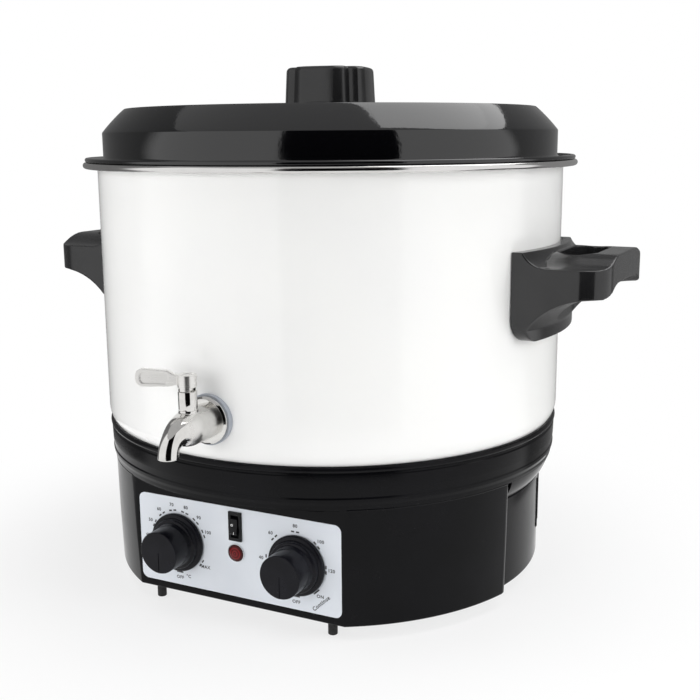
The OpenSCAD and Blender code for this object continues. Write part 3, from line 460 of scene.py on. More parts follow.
flange_roll = [(lid_r - roll_r + roll_r * math.sin(a), lid_rest + roll_r - roll_r * math.cos(a))
               for a in np.linspace(0, math.pi * 0.93, 12)]
wall_foot = rounded([(lid_r - roll_r - 1.2, lid_rest + 2.6, 0), (lid_wall_r, lid_rest + 2.1, 1.6),
                     (lid_wall_r, lid_rest + 8, 0)], closed=False)
lid = turned("lid_pressed", [(lid_wall_r - 1.2, lid_low), (lid_wall_r + 1.2, lid_low),
                             (lid_wall_r + 2, lid_low + 0.8), (lid_wall_r + 2, lid_rest)]
             + flange_roll + wall_foot + lid_shoulder(0) + [(60, lid_high - 0.15), (0, lid_high)]
             + [(0, lid_high - sheet)] + lid_shoulder(sheet)[::-1], steps=320, crease=50)
lid.data.materials.append(lid_black)
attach(lid, "lid")
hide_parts("lid")


# ---- Lid knob ----
# A moulded black thermoset knob, held by a screw from below. Four deep grooves and four shallow
# flats between them give the fingers a grip; a thin round lip is left at its foot.
def thermoset():
    material, main, where = finish("thermoset", (0.018, 0.018, 0.019), 0.17, specular=0.55)
    grain = clouds(where, 2200, 2.0)
    smear = clouds(where, 40)
    join_to(main, "Roughness", 0.13 + 0.10 * smear.between(0.35, 0.75) + 0.05 * (grain - 0.5))
    mottle(main, smear.between(0.3, 0.8), (0.010, 0.010, 0.0105), (0.016, 0.016, 0.0165))
    relief(main, grain, 0.05, 0.0003)
    return material


moulded_black = thermoset()
knob_low, knob_high = (corner.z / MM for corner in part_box("lid_knob"))
knob_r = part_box("lid_knob")[1].x / MM
knob_top_r = knob_r - 1.6
groove_turn = math.radians(55 - 90)
groove_half = 6.0
groove_depth = 5.2
flat_half = 13.0
flat_depth = 1.7


def knob_radius(angle, share):
    """Radius of the knob at an angle, at a share of its height."""
    body = knob_r + (knob_top_r - knob_r) * share
    off = (angle - groove_turn + math.pi / 4) % (math.pi / 2) - math.pi / 4
    from_groove = abs(off) * body
    from_flat = (math.pi / 4 - abs(off)) * body
    groove = groove_depth * max(0, 1 - from_groove / groove_half) ** 1.15
    groove *= 1 - 0.1 * math.exp(-(from_groove + 0.8) ** 2 / 0.9)
    flat = flat_depth * max(0, 1 - (from_flat / flat_half) ** 2)
    above_lip = min(1, max(0, (share - 0.09) / 0.04))
    return body - (groove + flat) * above_lip


def skinned(name, rings, crease=40, hollow=False):
    """A skin over rings of points, one after another. The two ends are closed by flat faces, or,
    in a hollow wall, the last ring meets the first."""
    wide, tall = len(rings[0]), len(rings)
    faces = []
    for j in range(tall if hollow else tall - 1):
        for n in range(wide):
            m, k = (n + 1) % wide, (j + 1) % tall
            faces.append((j * wide + n, k * wide + n, k * wide + m, j * wide + m))
    if not hollow:
        faces += [tuple(range(wide)), tuple((tall - 1) * wide + n for n in range(wide))]
    return made_mesh(name, [point for ring in rings for point in ring], faces, crease)


def fluted_knob():
    """Rings at (share of the height, offset outwards): lip, sides, rounded edge and dished top."""
    rows = [(0.0, -0.6), (0.012, -0.15), (0.03, 0.0), (0.085, 0.0), (0.10, 0.0), (0.13, 0.0)]
    rows += [(s, 0.0) for s in np.linspace(0.17, 0.885, 12)]
    edge = 3.0
    tall = knob_high - knob_low
    rows += [(1 - edge / tall * (1 - math.sin(a)), -edge * (1 - math.cos(a)))
             for a in np.linspace(0, math.pi / 2, 8)]
    rows += [(1.0, -4.2), (0.998, -5.2), (0.984, -6.0), (0.982, -7.5)]
    angles = np.linspace(0, 2 * math.pi, 288, endpoint=False)
    rings = []
    for share, inset in rows:
        z = (knob_low + share * tall) * MM
        radii = [knob_radius(angle, share) + inset for angle in angles]
        rings.append([(r * math.cos(a) * MM, r * math.sin(a) * MM, z) for r, a in zip(radii, angles)])
    foot = [(0, 0, knob_low * MM)] * len(angles)
    middle = [(0, 0, (knob_low + 0.985 * tall) * MM)] * len(angles)
    return skinned("lid_knob_fluted", [foot] + rings + [middle], 60)


lid_knob = fluted_knob()
lid_knob.data.materials.append(moulded_black)
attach(lid_knob, "lid")
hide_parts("lid_knob")


# ---- Side handles ----
# One-piece black thermoset handles: a back plate against the drum, two webs and an arched grip
# bar with a finger gap. Their edges are softly rounded by the mould.
def evaluated(piece):
    """A mesh of a piece as its modifiers leave it."""
    return bpy.data.meshes.new_from_object(piece.evaluated_get(bpy.context.evaluated_depsgraph_get()))


def remeshed(source, name, voxel, passes):
    """A copy of a solid with its edges worn round, as a mould or polishing leaves them."""
    piece = placed(name, source.data.copy())
    piece.data.materials.clear()
    weld = piece.modifiers.new("weld", "WELD")
    weld.merge_threshold = 1e-6
    skin = piece.modifiers.new("skin", "REMESH")
    skin.mode = "VOXEL"
    skin.voxel_size = voxel * MM
    skin.use_smooth_shade = True
    worn = piece.modifiers.new("worn", "SMOOTH")
    worn.factor = 0.5
    worn.iterations = passes
    settled = evaluated(piece)
    piece.modifiers.clear()
    piece.data = settled
    settled.shade_smooth()
    return piece


handle_voxel = 0.7
for side in ("left", "right"):
    handle = remeshed(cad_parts["handle_" + side], "handle_moulded_" + side, handle_voxel, 3)
    handle.data.materials.append(moulded_black)
    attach(handle, "appliance")
    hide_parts("handle_" + side)


# ---- Base housing ----
# One glossy black moulding that carries the drum: a bead and a collar under the drum, a flat front
# under an overhanging brow, rounded sides, and a recessed back with air slots.
def gloss_black():
    material, main, where = finish("gloss_black", (0.009, 0.009, 0.010), 0.16, specular=0.12)
    smear = clouds(where, 14).between(0.38, 0.75)
    haze = clouds(where, 900, 2.0)
    join_to(main, "Roughness", 0.13 + 0.10 * smear + 0.04 * (haze - 0.5))
    ripple = clouds(where, 30, 2.0) + 0.12 * haze
    relief(main, ripple, 0.08, 0.0006)
    mottle(main, smear, (0.0025, 0.0025, 0.003), (0.004, 0.004, 0.005))
    return material


housing_black = gloss_black()
base_low, base_top = (corner.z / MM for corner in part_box("base_housing"))
base_deep = 113
wall_t = 3.0
body_r = 171.8
flat_face = 148.2
front_corner = (84.1, 138.2, 10.0)
front_end = (math.radians(71.5), 163.8, 8.0)
recess_r = 163.0
recess_edge = math.radians(74.3)
brow_r = 172.1
brow_low = 30.2
brow_slope = 23.8 / 8
shoulder_low = 46.5
slot_low = base_low + 21
slot_high = slot_low + 40


def through_circle(angle, centre_x, centre_y, radius):
    """Where a ray from the axis leaves a circle; angle runs from the front towards the side."""
    ray = (math.sin(angle), math.cos(angle))
    along = centre_x * ray[0] + centre_y * ray[1]
    aside = centre_x * ray[1] - centre_y * ray[0]
    return along + math.sqrt(max(radius * radius - aside * aside, 0))


def body_radius(drop):
    """Radius of the round part at a depth below the top of the base, with its slight draft."""
    return float(np.interp(drop, [30, 44, 60, 77, 102, 113],
                           [body_r, 171.6, 171.4, 171.1, 170.4, 170.1]))


def front_radius(angle, drop, inset=0.0):
    """The front housing's plan: round, with a flat face and rounded corners."""
    off = abs(angle)
    scale = (body_radius(drop) - inset) / body_r
    corner_x, corner_y, corner_r = front_corner
    end_angle, end_r, end_round = front_end
    if off < math.atan2(corner_x, flat_face):
        return (flat_face - inset) / math.cos(off)
    if off < math.atan2(corner_x, corner_y):
        return min(through_circle(off, corner_x, corner_y, corner_r - inset), body_r * scale)
    if off < end_angle:
        return body_r * scale
    return through_circle(off, end_r * math.sin(end_angle) * scale,
                          end_r * math.cos(end_angle) * scale, end_round - inset * 0.5)


def side_radius(drop):
    """The recessed sides and back, with a bulging shoulder under the collar."""
    centre_r, centre_drop, round_r = 143.6, 25.8, 27.8
    if drop < shoulder_low:
        return centre_r + math.sqrt(round_r ** 2 - max(drop - centre_drop, 0) ** 2)
    return recess_r


def soft_max(a, b, blend):
    share = max(0.0, min(1.0, 0.5 + 0.5 * (a - b) / blend))
    return b * (1 - share) + a * share + blend * share * (1 - share)


def housing_radius(angle, drop):
    """The outer face below the collar's edge."""
    radius = front_radius(angle, drop) if abs(angle) < recess_edge else side_radius(drop)
    if drop < 40:
        brow = brow_r - (drop - brow_low) * brow_slope
        radius = soft_max(radius, min(brow_r, brow), 1.2)
    return radius


def housing_shell():
    """The wall's outline as (radius, depth), from the bead down the outside and back up inside."""
    spans = ((0, 28, 30), (28, 33, 24), (33, 68, 36), (68, 75, 34))
    turns = np.concatenate([np.linspace(*span, endpoint=False) for span in spans]
                           + [np.linspace(75, 180, 96)])
    turns = np.radians(np.concatenate([-turns[:0:-1], turns[:-1]]))
    bead_turn = np.linspace(math.pi * 0.5, -math.pi * 0.42, 12)
    collar = [(172.2 + 2.4 * math.cos(a), 2.4 - 2.4 * math.sin(a)) for a in bead_turn]
    collar += rounded([(173.0, 5.2, 0), (173.0, 5.9, 0.5), (173.9, 6.7, 0.4), (173.6, 16.4, 1.5),
                       (173.1, 21.2, 0.6), (173.6, 22.2, 0.6), (173.4, 24.4, 1.0), (172.5, 26.8, 1.2),
                       (brow_r, 29.6, 0.7), (170.6, 30.6, 0)], steps=4, closed=False)[1:]
    rows = [[(r, drop)] * len(turns) for r, drop in collar[:-1]]
    drops = np.concatenate([np.linspace(30.3, 40, 22), np.linspace(41, 48.5, 14),
                            np.linspace(52, 108, 18), [110.5, 111.6]])
    for drop in drops:
        rows.append([(housing_radius(t, drop), drop) for t in turns])
    edge = 1.4
    foot = [housing_radius(t, base_deep - 1) for t in turns]
    for a in np.linspace(0.2, math.pi / 2, 5):
        rows.append([(r - edge * (1 - math.cos(a)), base_deep - edge * (1 - math.sin(a))) for r in foot])
    inner = [r - wall_t for r in foot]
    upper = [min(r, front_radius(t, 100, wall_t)) if abs(t) < recess_edge else r
             for r, t in zip(inner, turns)]
    under_brow = [min(r, 145.0 / max(math.cos(t), 0.2) if abs(t) < 1 else r, 160)
                  for r, t in zip(inner, turns)]
    for radii, drop in ((inner, base_deep), (upper, 48), (under_brow, 38), (under_brow, 14)):
        rows.append([(r, drop) for r in radii])
    for r, drop in ((145, 14), (145, 11), (172.2, 11)):
        rows.append([(r, drop)] * len(turns))
    rings = [[(r * math.sin(t) * MM, -r * math.cos(t) * MM, (base_top - drop) * MM)
              for (r, drop), t in zip(row, turns)] for row in rows]
    return skinned("base_moulding", rings, 35, hollow=True)


def joined(pieces, name):
    """One piece out of several, keeping their finishes."""
    with bpy.context.temp_override(active_object=pieces[0], selected_editable_objects=pieces):
        bpy.ops.object.join()
    pieces[0].name = name
    return pieces[0]


def slot_places():
    """Hand, way out and way across of each air slot: five a side, 6 degrees apart."""
    for hand in (-1, 1):
        for k in range(5):
            turn = math.radians(101 + 6 * k) * hand
            out = Vector((math.sin(turn), -math.cos(turn), 0))
            yield hand, out, Vector((math.cos(turn), math.sin(turn), 0))


def slot_cutters():
    """An upright bar with rounded ends through the wall at each air slot."""
    half, tall = 1.5, slot_high - slot_low
    ring = rounded([(-half, 0, 1.4), (half, 0, 1.4), (half, tall, 1.4), (-half, tall, 1.4)], steps=4)
    bars = []
    for hand, out, across in slot_places():
        ends = [[out * r * MM + across * a * MM + Vector((0, 0, (slot_low + b) * MM)) for a, b in ring]
                for r in (recess_r - 8, recess_r + 6)]
        bars.append(skinned("slot_bar", ends))
    return joined(bars, "slot_cutters")


def cut(piece, cutter, crease=40):
    """Takes the cutter's shape out of a piece and throws the cutter away."""
    knife = piece.modifiers.new("knife", "BOOLEAN")
    knife.operation = "DIFFERENCE"
    knife.solver = "EXACT"
    knife.object = cutter
    done = evaluated(piece)
    piece.modifiers.clear()
    piece.data = done
    smooth(done, crease)
    bpy.data.objects.remove(cutter)


housing = housing_shell()
cut(housing, slot_cutters(), 35)
housing.data.materials.append(housing_black)
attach(housing, "appliance")
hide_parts("base_housing")


# ---- Air slot ribs and gland ----
# The moulding carries a low rib beside each air slot. The gland at the back is a separate turned
# nylon piece clamped in the wall, with a bore for a mains lead.
def slot_ribs():
    """Upright ribs on the recessed wall, with their outer edges and both ends rounded off."""
    wide, end = 1.4, 0.6
    outline = rounded([(0, recess_r - 1.2, 0), (0, recess_r + 0.9, 0.5), (wide, recess_r + 0.9, 0.5),
                       (wide, recess_r - 1.2, 0)], steps=4, closed=False)
    ribs = []
    for hand, out, across in slot_places():
        rings = []
        for height, inset in ((slot_low, end), (slot_low + end, 0),
                              (slot_high - end, 0), (slot_high, end)):
            narrow = 1 - inset / wide
            lift = Vector((0, 0, height * MM))
            rings.append([(out * (r - inset) + across * hand * (2.4 + (a - wide / 2) * narrow)) * MM
                          + lift for a, r in outline])
        ribs.append(skinned("slot_rib", rings))
    return joined(ribs, "slot_ribs")


ribs = slot_ribs()
ribs.data.materials.append(housing_black)
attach(ribs, "appliance")


def dressed(node, width):
    """A copy of a solid with its sharp edges taken off by a small bevel."""
    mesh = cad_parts[node].data.copy()
    mesh.materials.clear()
    work = bmesh.new()
    work.from_mesh(mesh)
    bmesh.ops.remove_doubles(work, verts=work.verts, dist=2e-6)
    bmesh.ops.dissolve_limit(work, angle_limit=math.radians(0.5), verts=work.verts, edges=work.edges)
    sharp = [e for e in work.edges if len(e.link_faces) == 2
             and e.calc_face_angle(0) > math.radians(30)]
    bmesh.ops.bevel(work, geom=sharp, offset=width * MM, offset_type="OFFSET", segments=2,
                    profile=0.5, affect="EDGES", clamp_overlap=True)
    work.to_mesh(mesh)
    work.free()
    smooth(mesh, 35)
    piece = placed(node + "_finished", mesh)
    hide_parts(node)
    return piece


def nylon():
    material, main, where = finish("nylon_black", (0.020, 0.020, 0.021), 0.42, specular=0.4)
    grain = clouds(where, 1500, 2.0)
    join_to(main, "Roughness", 0.38 + 0.12 * grain)
    relief(main, grain, 0.10, 0.0003)
    return material


nylon_black = nylon()
gland = dressed("cord_gland", 0.6)
gland.data.materials.append(nylon_black)
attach(gland, "appliance")


# ---- Feet ----
# Four short rubber pegs pushed up through the steel plate that closes the base.
def rubber():
    material, main, where = finish("foot_rubber", (0.016, 0.016, 0.016), 0.62, specular=0.35)
    dust = clouds(where, 300)
    join_to(main, "Roughness", 0.55 + 0.2 * dust)
    join_to(main, "Base Color", dust.between(0.45, 0.8).mix(shade(0.012), shade(0.035)))
    relief(main, clouds(where, 1400, 2.0), 0.15, 0.0004)
    return material


foot_low, foot_high = (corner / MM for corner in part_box("feet"))
foot_r = 3.3
waist_r = foot_r - 0.9
plate_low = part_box("base_plate")[0].z / MM
plate_high = plate_low + 1.2
foot_rubber = rubber()
foot_row = rounded([(0, 0, 0), (foot_r, 0, 0.7), (foot_r, plate_low, 0.2), (waist_r, plate_low, 0.1),
                    (waist_r, plate_high, 0.1), (foot_r, plate_high, 0.2),
                    (foot_r, foot_high.z, 0.8), (0, foot_high.z, 0)], steps=5)
foot_x = foot_high.x - foot_r
foot_places = [(x, y) for y in (foot_low.y + foot_r, foot_high.y - foot_r) for x in (-foot_x, foot_x)]
for number, (x, y) in enumerate(foot_places, 1):
    foot = turned("foot_%d" % number, foot_row, (x * MM, y * MM, 0), steps=40)
    foot.data.materials.append(foot_rubber)
    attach(foot, "appliance")
    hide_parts("feet")


# ---- Tap ----
# A small cast stainless tap, polished, with a satin side to its barrel. Its threaded tail goes
# through the drum's wall, with a grey silicone gasket and a bevelled ring outside.
def tap_steel(name="tap_steel", satin=0.0):
    material, main, where = finish(name, (0.72, 0.71, 0.69), 0.08, metal=1.0)
    rub = clouds(where, 260, 4.0)
    x, y = where.axes()[:2]
    flank = x.between(4.5 * MM, 7.5 * MM) * y.between(-214 * MM, -206 * MM)
    join_to(main, "Roughness", 0.06 + 0.10 * rub.between(0.45, 0.75) + flank * satin)
    relief(main, clouds(where, 160, 2.0), 0.04, 0.0005)
    mottle(main, clouds(where, 120).between(0.3, 0.8), (0.75, 0.74, 0.72), (0.66, 0.65, 0.63))
    return material


polished = tap_steel()
half_satin = tap_steel("tap_steel_flank", 0.22)
tap_z = 151.3
ring_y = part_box("tap_ring")[0].y / MM
ring_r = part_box("tap_ring")[1].x / MM
tail_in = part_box("tap_body")[1].y / MM
neck_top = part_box("tap_bonnet")[0].z / MM
valve_y = -198.7
neck_r = 6.1
seat_r = 5.06
barrel_r = 11.7
spout_r = 6.6
way_r = 4.2
bend_r = 14.3
outlet_y = -221.3
bend_y = outlet_y + bend_r
thread_r = 8.0
thread_root_r = 7.3
pitch = 1.3


def pipe_path():
    """Stations along the barrel and the spout: place and direction."""
    run = [((0, y, tap_z), (0, -1, 0)) for y in np.linspace(ring_y + 1.4, bend_y, 26)]
    for a in np.linspace(0, math.pi / 2, 22)[1:]:
        run.append(((0, bend_y - bend_r * math.sin(a), tap_z - bend_r * (1 - math.cos(a))),
                    (0, -math.cos(a), -math.sin(a))))
    return run


def pipe(name, run, radii, segments=72):
    """A closed round bar along a run of stations, with a radius for each."""
    side = Vector((1, 0, 0))
    turns = [2 * math.pi * n / segments for n in range(segments)]
    rings = []
    for (place, way), r in zip(run, radii):
        top = side.cross(Vector(way))
        rings.append([(Vector(place) + side * r * math.cos(a) + top * r * math.sin(a)) * MM
                      for a in turns])
    return skinned(name, rings, 60)


def casting_radius(y):
    """The barrel's radius, which narrows softly to the spout's over 21 mm."""
    past = min(1, max(0, (-y - 199) / 21))
    return barrel_r + (spout_r - barrel_r) * past * past * (3 - 2 * past)


run = pipe_path()
casting = pipe("casting", run, [casting_radius(place[1]) for place, way in run])
neck = turned("neck", [(0, tap_z - 3), (neck_r, tap_z - 3), (neck_r, neck_top), (0, neck_top)],
              (0, valve_y * MM, 0), steps=72)
casting = joined([casting, neck], "casting")
tap_body = remeshed(casting, "tap_casting", 0.4, 6)
bpy.data.objects.remove(casting)
thread = [(0, ring_y + 0.2)]
for k in range(int((tail_in - ring_y - 1.5) / pitch)):
    thread += [(thread_root_r, ring_y + 0.3 + pitch * k), (thread_r, ring_y + 0.3 + pitch * (k + 0.5))]
thread += [(thread_root_r, tail_in - 0.8), (thread_root_r - 0.3, tail_in), (0, tail_in)]
tail = turned("tail", thread, (0, 0, tap_z * MM), axis="y", steps=64)
way_run = [((0, tail_in + 2, tap_z), (0, -1, 0))] + run[1:]
way_run.append(((0, outlet_y, tap_z - bend_r - 1), (0, 0, -1)))
for solid in (tap_body, tail):
    cut(solid, pipe("way", way_run, [way_r] * len(way_run), 40))
seat = turned("seat", [(0, tap_z - 7.1), (seat_r, tap_z - 7.1), (seat_r, tap_z + 20), (0, tap_z + 20)],
              (0, valve_y * MM, 0), steps=64)
cut(tap_body, seat)
for solid in (tap_body, tail):
    solid.data.materials.clear()
    solid.data.materials.append(half_satin)
tap_body = joined([tap_body, tail], "tap_casting")
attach(tap_body, "appliance")
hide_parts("tap_body")

ring_back = ring_y + 3.4
tap_ring = turned("tap_ring_bevelled", rounded([
    (thread_r, ring_y, 0), (ring_r - 1.5, ring_y, 0.4), (ring_r, ring_y + 1.5, 0.5),
    (ring_r, ring_back, 0.2), (thread_r, ring_back, 0)], steps=4),
    (0, 0, tap_z * MM), axis="y", steps=128)
tap_ring.data.materials.append(polished)
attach(tap_ring, "appliance")
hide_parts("tap_ring")

for node, body in (("tap_bonnet", "appliance"), ("tap_lever_screw", "tap_lever")):
    piece = dressed(node, 0.25)
    piece.data.materials.append(polished)
    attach(piece, body)

lever = remeshed(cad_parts["tap_lever"], "tap_lever_cast", 0.22, 2)
lever_satin = bright_steel("lever_satin", (0.80, 0.79, 0.77), 0.26, 0.10)
lever.data.materials.append(lever_satin)
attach(lever, "tap_lever")
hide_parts("tap_lever")


# ---- Control panel ----
# A thin anodised plate with a cool silver tint, printed in black: a temperature scale round the
# left dial and a running time scale round the right one.
def anodised():
    material, main, where = finish("panel_silver", (0.64, 0.67, 0.71), 0.42)
    fine = clouds(where, 3200, 2.0)
    mottle(main, clouds(where, 30).between(0.3, 0.75), (0.70, 0.735, 0.785), (0.73, 0.76, 0.805))
    join_to(main, "Roughness", 0.36 + 0.12 * fine)
    relief(main, fine, 0.05, 0.0002)
    return material


def ink(name, colour):
    material, main, where = finish(name, colour, 0.5)
    join_to(main, "Roughness", 0.45 + 0.15 * clouds(where, 900))
    return material


panel_silver = anodised()
black_ink = ink("ink_black", (0.02, 0.02, 0.022))
white_ink = ink("ink_white", (0.80, 0.80, 0.80))
panel_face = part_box("control_panel")[0].y / MM
dial_x = 48.5
dial_z = 48.6
time_print_x = dial_x - 1.4
print_t = 0.03
print_w = 1.1
tick_r = 23.1
label_r = 27.2


def dash(x, z, angle, length, width=print_w):
    """A printed dash lying along the circle round a dial, at an angle clockwise from the top."""
    along = Vector((math.cos(angle), 0, -math.sin(angle)))
    out = Vector((math.sin(angle), 0, math.cos(angle)))
    middle = Vector((x, panel_face - print_t / 2, z))
    ends = [[(middle + along * length / 2 * a + out * width / 2 * b
              + Vector((0, print_t / 2 * c, 0))) * MM
             for b, c in ((-1, -1), (-1, 1), (1, 1), (1, -1))] for a in (-1, 1)]
    return skinned("dash", ends)


def lettering(text, x, z, tall=2.4, lean=0.0):
    """Flat printed letters, centred at a place on the panel. tall is the height of a capital."""
    words = bpy.data.curves.new("words", "FONT")
    words.body = text
    words.align_x = "CENTER"
    words.align_y = "CENTER"
    words.size = tall * 1.38 * MM
    words.resolution_u = 3
    words.offset = 0.10 * MM
    words.space_character = 1.12
    holder = placed("words", words)
    flat = evaluated(holder)
    bpy.data.objects.remove(holder)
    flat.transform(Matrix.Translation((x * MM, (panel_face - print_t) * MM, z * MM))
                   @ Matrix.Rotation(-lean, 4, "Y") @ Matrix.Rotation(math.pi / 2, 4, "X"))
    return placed("lettering", flat)


def scale_marks(centre, labels):
    """Pairs of dashes and a label for each mark; a single long dash at the two fixed positions."""
    made = []
    for text, degrees in labels:
        angle = math.radians(degrees)
        sin, cos = math.sin(angle), math.cos(angle)
        x, z = centre + tick_r * sin, dial_z + tick_r * cos
        if text in ("OFF", "ON"):
            made.append(dash(x, z, angle, 5.6))
        else:
            for step in (-1.9, 1.9):
                made.append(dash(x + step * cos, z - step * sin, angle, 2.4))
        made.append(lettering(text, centre + label_r * sin, dial_z + label_r * cos))
    return made


heat_scale = [("%d" % (30 + 10 * k), (245.5 + 25.9 * k) % 360) for k in range(8)]
time_scale = [("%d" % (20 + 20 * k), (225 + 45 * k) % 360) for k in range(6)]
printed = scale_marks(-dial_x, heat_scale + [("MAX", 125), ("OFF", 180)])
printed += scale_marks(time_print_x, time_scale + [("ON", 137), ("OFF", 180)])
printed.append(lettering("°C", -dial_x + 7.3, dial_z - 25.4))
printed.append(lettering("Continue", dial_x + 17.8, dial_z - 24.6, 2.9, math.radians(43)))
panel_print = joined(printed, "panel_print")
panel_print.data.materials.clear()
panel_print.data.materials.append(black_ink)
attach(panel_print, "appliance")


# ---- Dials ----
# Two gloss black dials: a flange with a rounded edge, a raised step and a plain round grip with a
# flat satin face, in which an index line is cut. Each is pushed onto its control's shaft.
def dial_plastic():
    material, main, where = finish("dial_plastic", (0.004, 0.004, 0.006), 0.20, specular=0.18)
    haze = clouds(where, 700, 3.0)
    join_to(main, "Roughness", 0.17 + 0.12 * haze)
    mottle(main, clouds(where, 60).between(0.35, 0.75), (0.003, 0.003, 0.005), (0.006, 0.006, 0.009))
    relief(main, haze, 0.03, 0.0004)
    return material


dial_black = dial_plastic()
dial_face, dial_back = (corner.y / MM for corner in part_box("thermostat_knob"))
shaft_r = 3.02
boss_r = 9.0
boss_back = dial_back - 4.5
shaft_end = dial_face + 7
flange_r = 21.4
grip_r = 15.0
line_cut = 1.0
line_long, line_wide = 15.4, 0.55
dial_side = rounded([
    (shaft_r, boss_back, 0), (boss_r, boss_back, 0.5), (boss_r, dial_back, 0.4),
    (flange_r, dial_back, 0.8), (flange_r, dial_back - 3.2, 1.6), (18.6, dial_back - 3.6, 0.3),
    (18.0, dial_back - 6.6, 1.3), (16.2, dial_back - 7.2, 0.9), (grip_r + 0.3, dial_back - 10.5, 3.0),
    (grip_r, dial_face, 0.7), (0, dial_face, 0), (0, shaft_end, 0), (shaft_r, shaft_end, 0.3)], steps=6)
for name, body, x in (("thermostat_knob", "thermostat_dial", -dial_x),
                      ("timer_knob", "timer_dial", dial_x)):
    dial = turned(name + "_turned", dial_side, (x * MM, 0, dial_z * MM), axis="y", steps=160)
    line = dash(x, dial_z - line_long / 2 + 0.1, math.pi / 2, line_long, line_wide)
    line.data.transform(Matrix.Translation((0, dial_face * MM, 0))
                        @ Matrix.Scale(line_cut / print_t, 4, (0, 1, 0))
                        @ Matrix.Translation((0, (print_t / 2 - panel_face) * MM, 0)))
    cut(dial, line)
    dial.data.materials.append(dial_black)
    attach(dial, body)
    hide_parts(name)


# ---- Rocker switch and lamp ----
# A narrow black rocker with white marks in its own frame, snapped into the panel above a red
# indicator with a ribbed lens and a bright ring.
def switch_plastic():
    material, main, where = finish("switch_black", (0.003, 0.003, 0.004), 0.16, specular=0.22)
    join_to(main, "Roughness", 0.16 + 0.10 * clouds(where, 500))
    return material


switch_black = switch_plastic()
surround = dressed("rocker_frame", 0.35)
surround.data.materials.append(switch_black)
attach(surround, "appliance")

rocker_z = dial_z + 19.4
off_mark = ("O", -1.6, panel_face - 2.62, rocker_z + 1.2, 0)
on_mark = ("I", 0.6, panel_face - 4.05, rocker_z - 4.0, -16)
marks = []
for text, x, y, z, tilt in (off_mark, on_mark):
    mark = lettering(text, 0, 0, 1.7)
    mark.data.transform(Matrix.Translation((x * MM, (y - print_t) * MM, z * MM))
                        @ Matrix.Rotation(math.radians(tilt), 4, "X")
                        @ Matrix.Translation((0, (print_t - panel_face) * MM, 0)))
    marks.append(mark)
rocker_marks = joined(marks, "rocker_marks")
rocker_marks.data.materials.clear()
rocker_marks.data.materials.append(white_ink)
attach(rocker_marks, "rocker")

rocker = dressed("rocker", 0.3)
rocker.data.materials.append(switch_black)
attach(rocker, "rocker")


def lens_red():
    material, main, where = finish("lens_red", (0.42, 0.02, 0.025), 0.18, specular=0.22)
    x, z = where.axes()[::2]
    radius = (x * x + (z - dial_z * MM) ** 2.0) ** 0.5
    ribs_apart = 1.9 * MM
    wave = radius.maths("COSINE", radius * (2 * math.pi / ribs_apart))
    # painted highlight and painted shade on the ribs: the colour swings from darker to lighter red with
    # each rib, on top of the ribs' bumps
    red = wave.between(-0.9, 0.9).mix(shade(0.075, 0.003, 0.004), shade(0.19, 0.008, 0.010))
    # painted shade: the lens is darkened towards its rim, beside the bright ring
    rim_painted_shade = radius.between(3.9 * MM, 5.8 * MM)
    join_to(main, "Base Color", rim_painted_shade.mix(red, shade(0.030, 0.002, 0.002)))
    relief(main, wave, 0.35, 0.0004)
    join_to(main, "Roughness", 0.14 + 0.1 * clouds(where, 800))
    return material


lens_side = [(0, -2.4), (2.0, -2.28), (4.0, -1.9), (5.4, -1.4), (6.0, -0.9), (6.08, -0.2),
             (5.0, 0), (5.0, 4.6), (0, 4.8)]
lens = turned("lamp_lens_domed", [(r, panel_face + y) for r, y in lens_side],
              (0, 0, dial_z * MM), axis="y", steps=96)
lens.data.materials.append(lens_red())
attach(lens, "appliance")
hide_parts("lamp_lens")

lamp_in_r, lamp_out_r = 6.12, 6.7
lamp_ring = turned("lamp_ring_rolled", rounded([
    (lamp_in_r, panel_face, 0), (lamp_in_r, panel_face - 1.2, 0.25),
    (lamp_out_r, panel_face - 1.0, 0.25), (lamp_out_r, panel_face, 0)], steps=4),
    (0, 0, dial_z * MM), axis="y", steps=96)
lamp_ring.data.materials.append(bright_steel("lamp_trim", (0.80, 0.80, 0.82), 0.12, 0.05))
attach(lamp_ring, "appliance")
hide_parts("lamp_ring")


# ---- Pieces that keep their solid's shape ----
# Gaskets, fasteners, brackets, the closing plate, the heater and the controls behind the panel.
def assign(material, *nodes):
    for node in nodes:
        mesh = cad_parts[node].data
        mesh.materials.clear()
        mesh.materials.append(material)


def silicone():
    material, main, where = finish("gasket_grey", (0.34, 0.36, 0.40), 0.45, specular=0.45)
    join_to(main, "Roughness", 0.38 + 0.15 * clouds(where, 400))
    mottle(main, clouds(where, 90).between(0.3, 0.8), (0.33, 0.355, 0.40), (0.40, 0.42, 0.46))
    return material


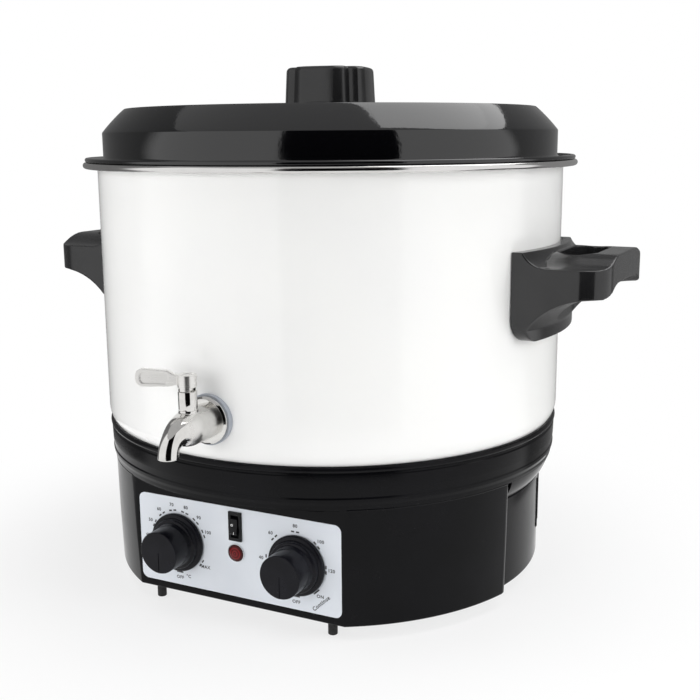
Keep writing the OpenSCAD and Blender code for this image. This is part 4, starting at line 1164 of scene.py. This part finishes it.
def rolled_sheet():
    material, main, where = finish("rolled_sheet", (0.55, 0.56, 0.57), 0.35, metal=1.0)
    grain = clouds(drawn_out(where, (900, 14, 900)), 1.0, 3.0, rough=0.5)
    join_to(main, "Roughness", 0.30 + 0.18 * (grain - 0.5) + 0.08 * clouds(where, 40))
    mottle(main, clouds(where, 25).between(0.3, 0.8), (0.58, 0.59, 0.60), (0.48, 0.49, 0.50))
    return material


def moulded_cream():
    material, main, where = finish("control_body", (0.62, 0.59, 0.50), 0.5)
    join_to(main, "Roughness", 0.42 + 0.2 * clouds(where, 300))
    mottle(main, clouds(where, 50).between(0.3, 0.8), (0.64, 0.61, 0.52), (0.54, 0.51, 0.43))
    return material


def burnt_steel():
    material, main, where = finish("element_sheath", (0.16, 0.13, 0.12), 0.5, metal=0.8)
    scorch = clouds(where, 45, 4.0)
    mottle(main, scorch.between(0.35, 0.7), (0.12, 0.11, 0.11), (0.24, 0.17, 0.12))
    join_to(main, "Roughness", 0.40 + 0.25 * scorch)
    return material


def bare_copper():
    material, main, where = finish("bulb_copper", (0.72, 0.38, 0.22), 0.28, metal=1.0)
    stain = clouds(where, 130, 4.0)
    mottle(main, stain.between(0.4, 0.75), (0.75, 0.40, 0.24), (0.42, 0.22, 0.14))
    join_to(main, "Roughness", 0.22 + 0.25 * stain)
    return material


plated_steel = bright_steel("plated_steel", (0.62, 0.62, 0.63), 0.26, 0.15)
assign(silicone(), "tap_gasket", "tap_inner_gasket", "seal_ring")
assign(plated_steel, "lid_knob_washer", "lid_knob_screw", "handle_brackets", "handle_screws",
       "tap_nut", "base_plate_screws", "base_nut", "pot_stud", "clamp_nut", "shield_nut",
       "element_clamp", "thermostat_nut", "timer_nut", "thermostat_shaft", "timer_shaft")
assign(polished, "tap_plug")
assign(rolled_sheet(), "base_plate", "heat_shield", "heat_spreader")
assign(moulded_cream(), "lamp_body", "thermostat_body", "timer_body", "terminal_block", "thermal_cutout")
assign(burnt_steel(), "heating_element")
assign(bare_copper(), "sensor_bulb")
assign(nylon_black, "cord_gland_nut")
assign(panel_silver, "control_panel")
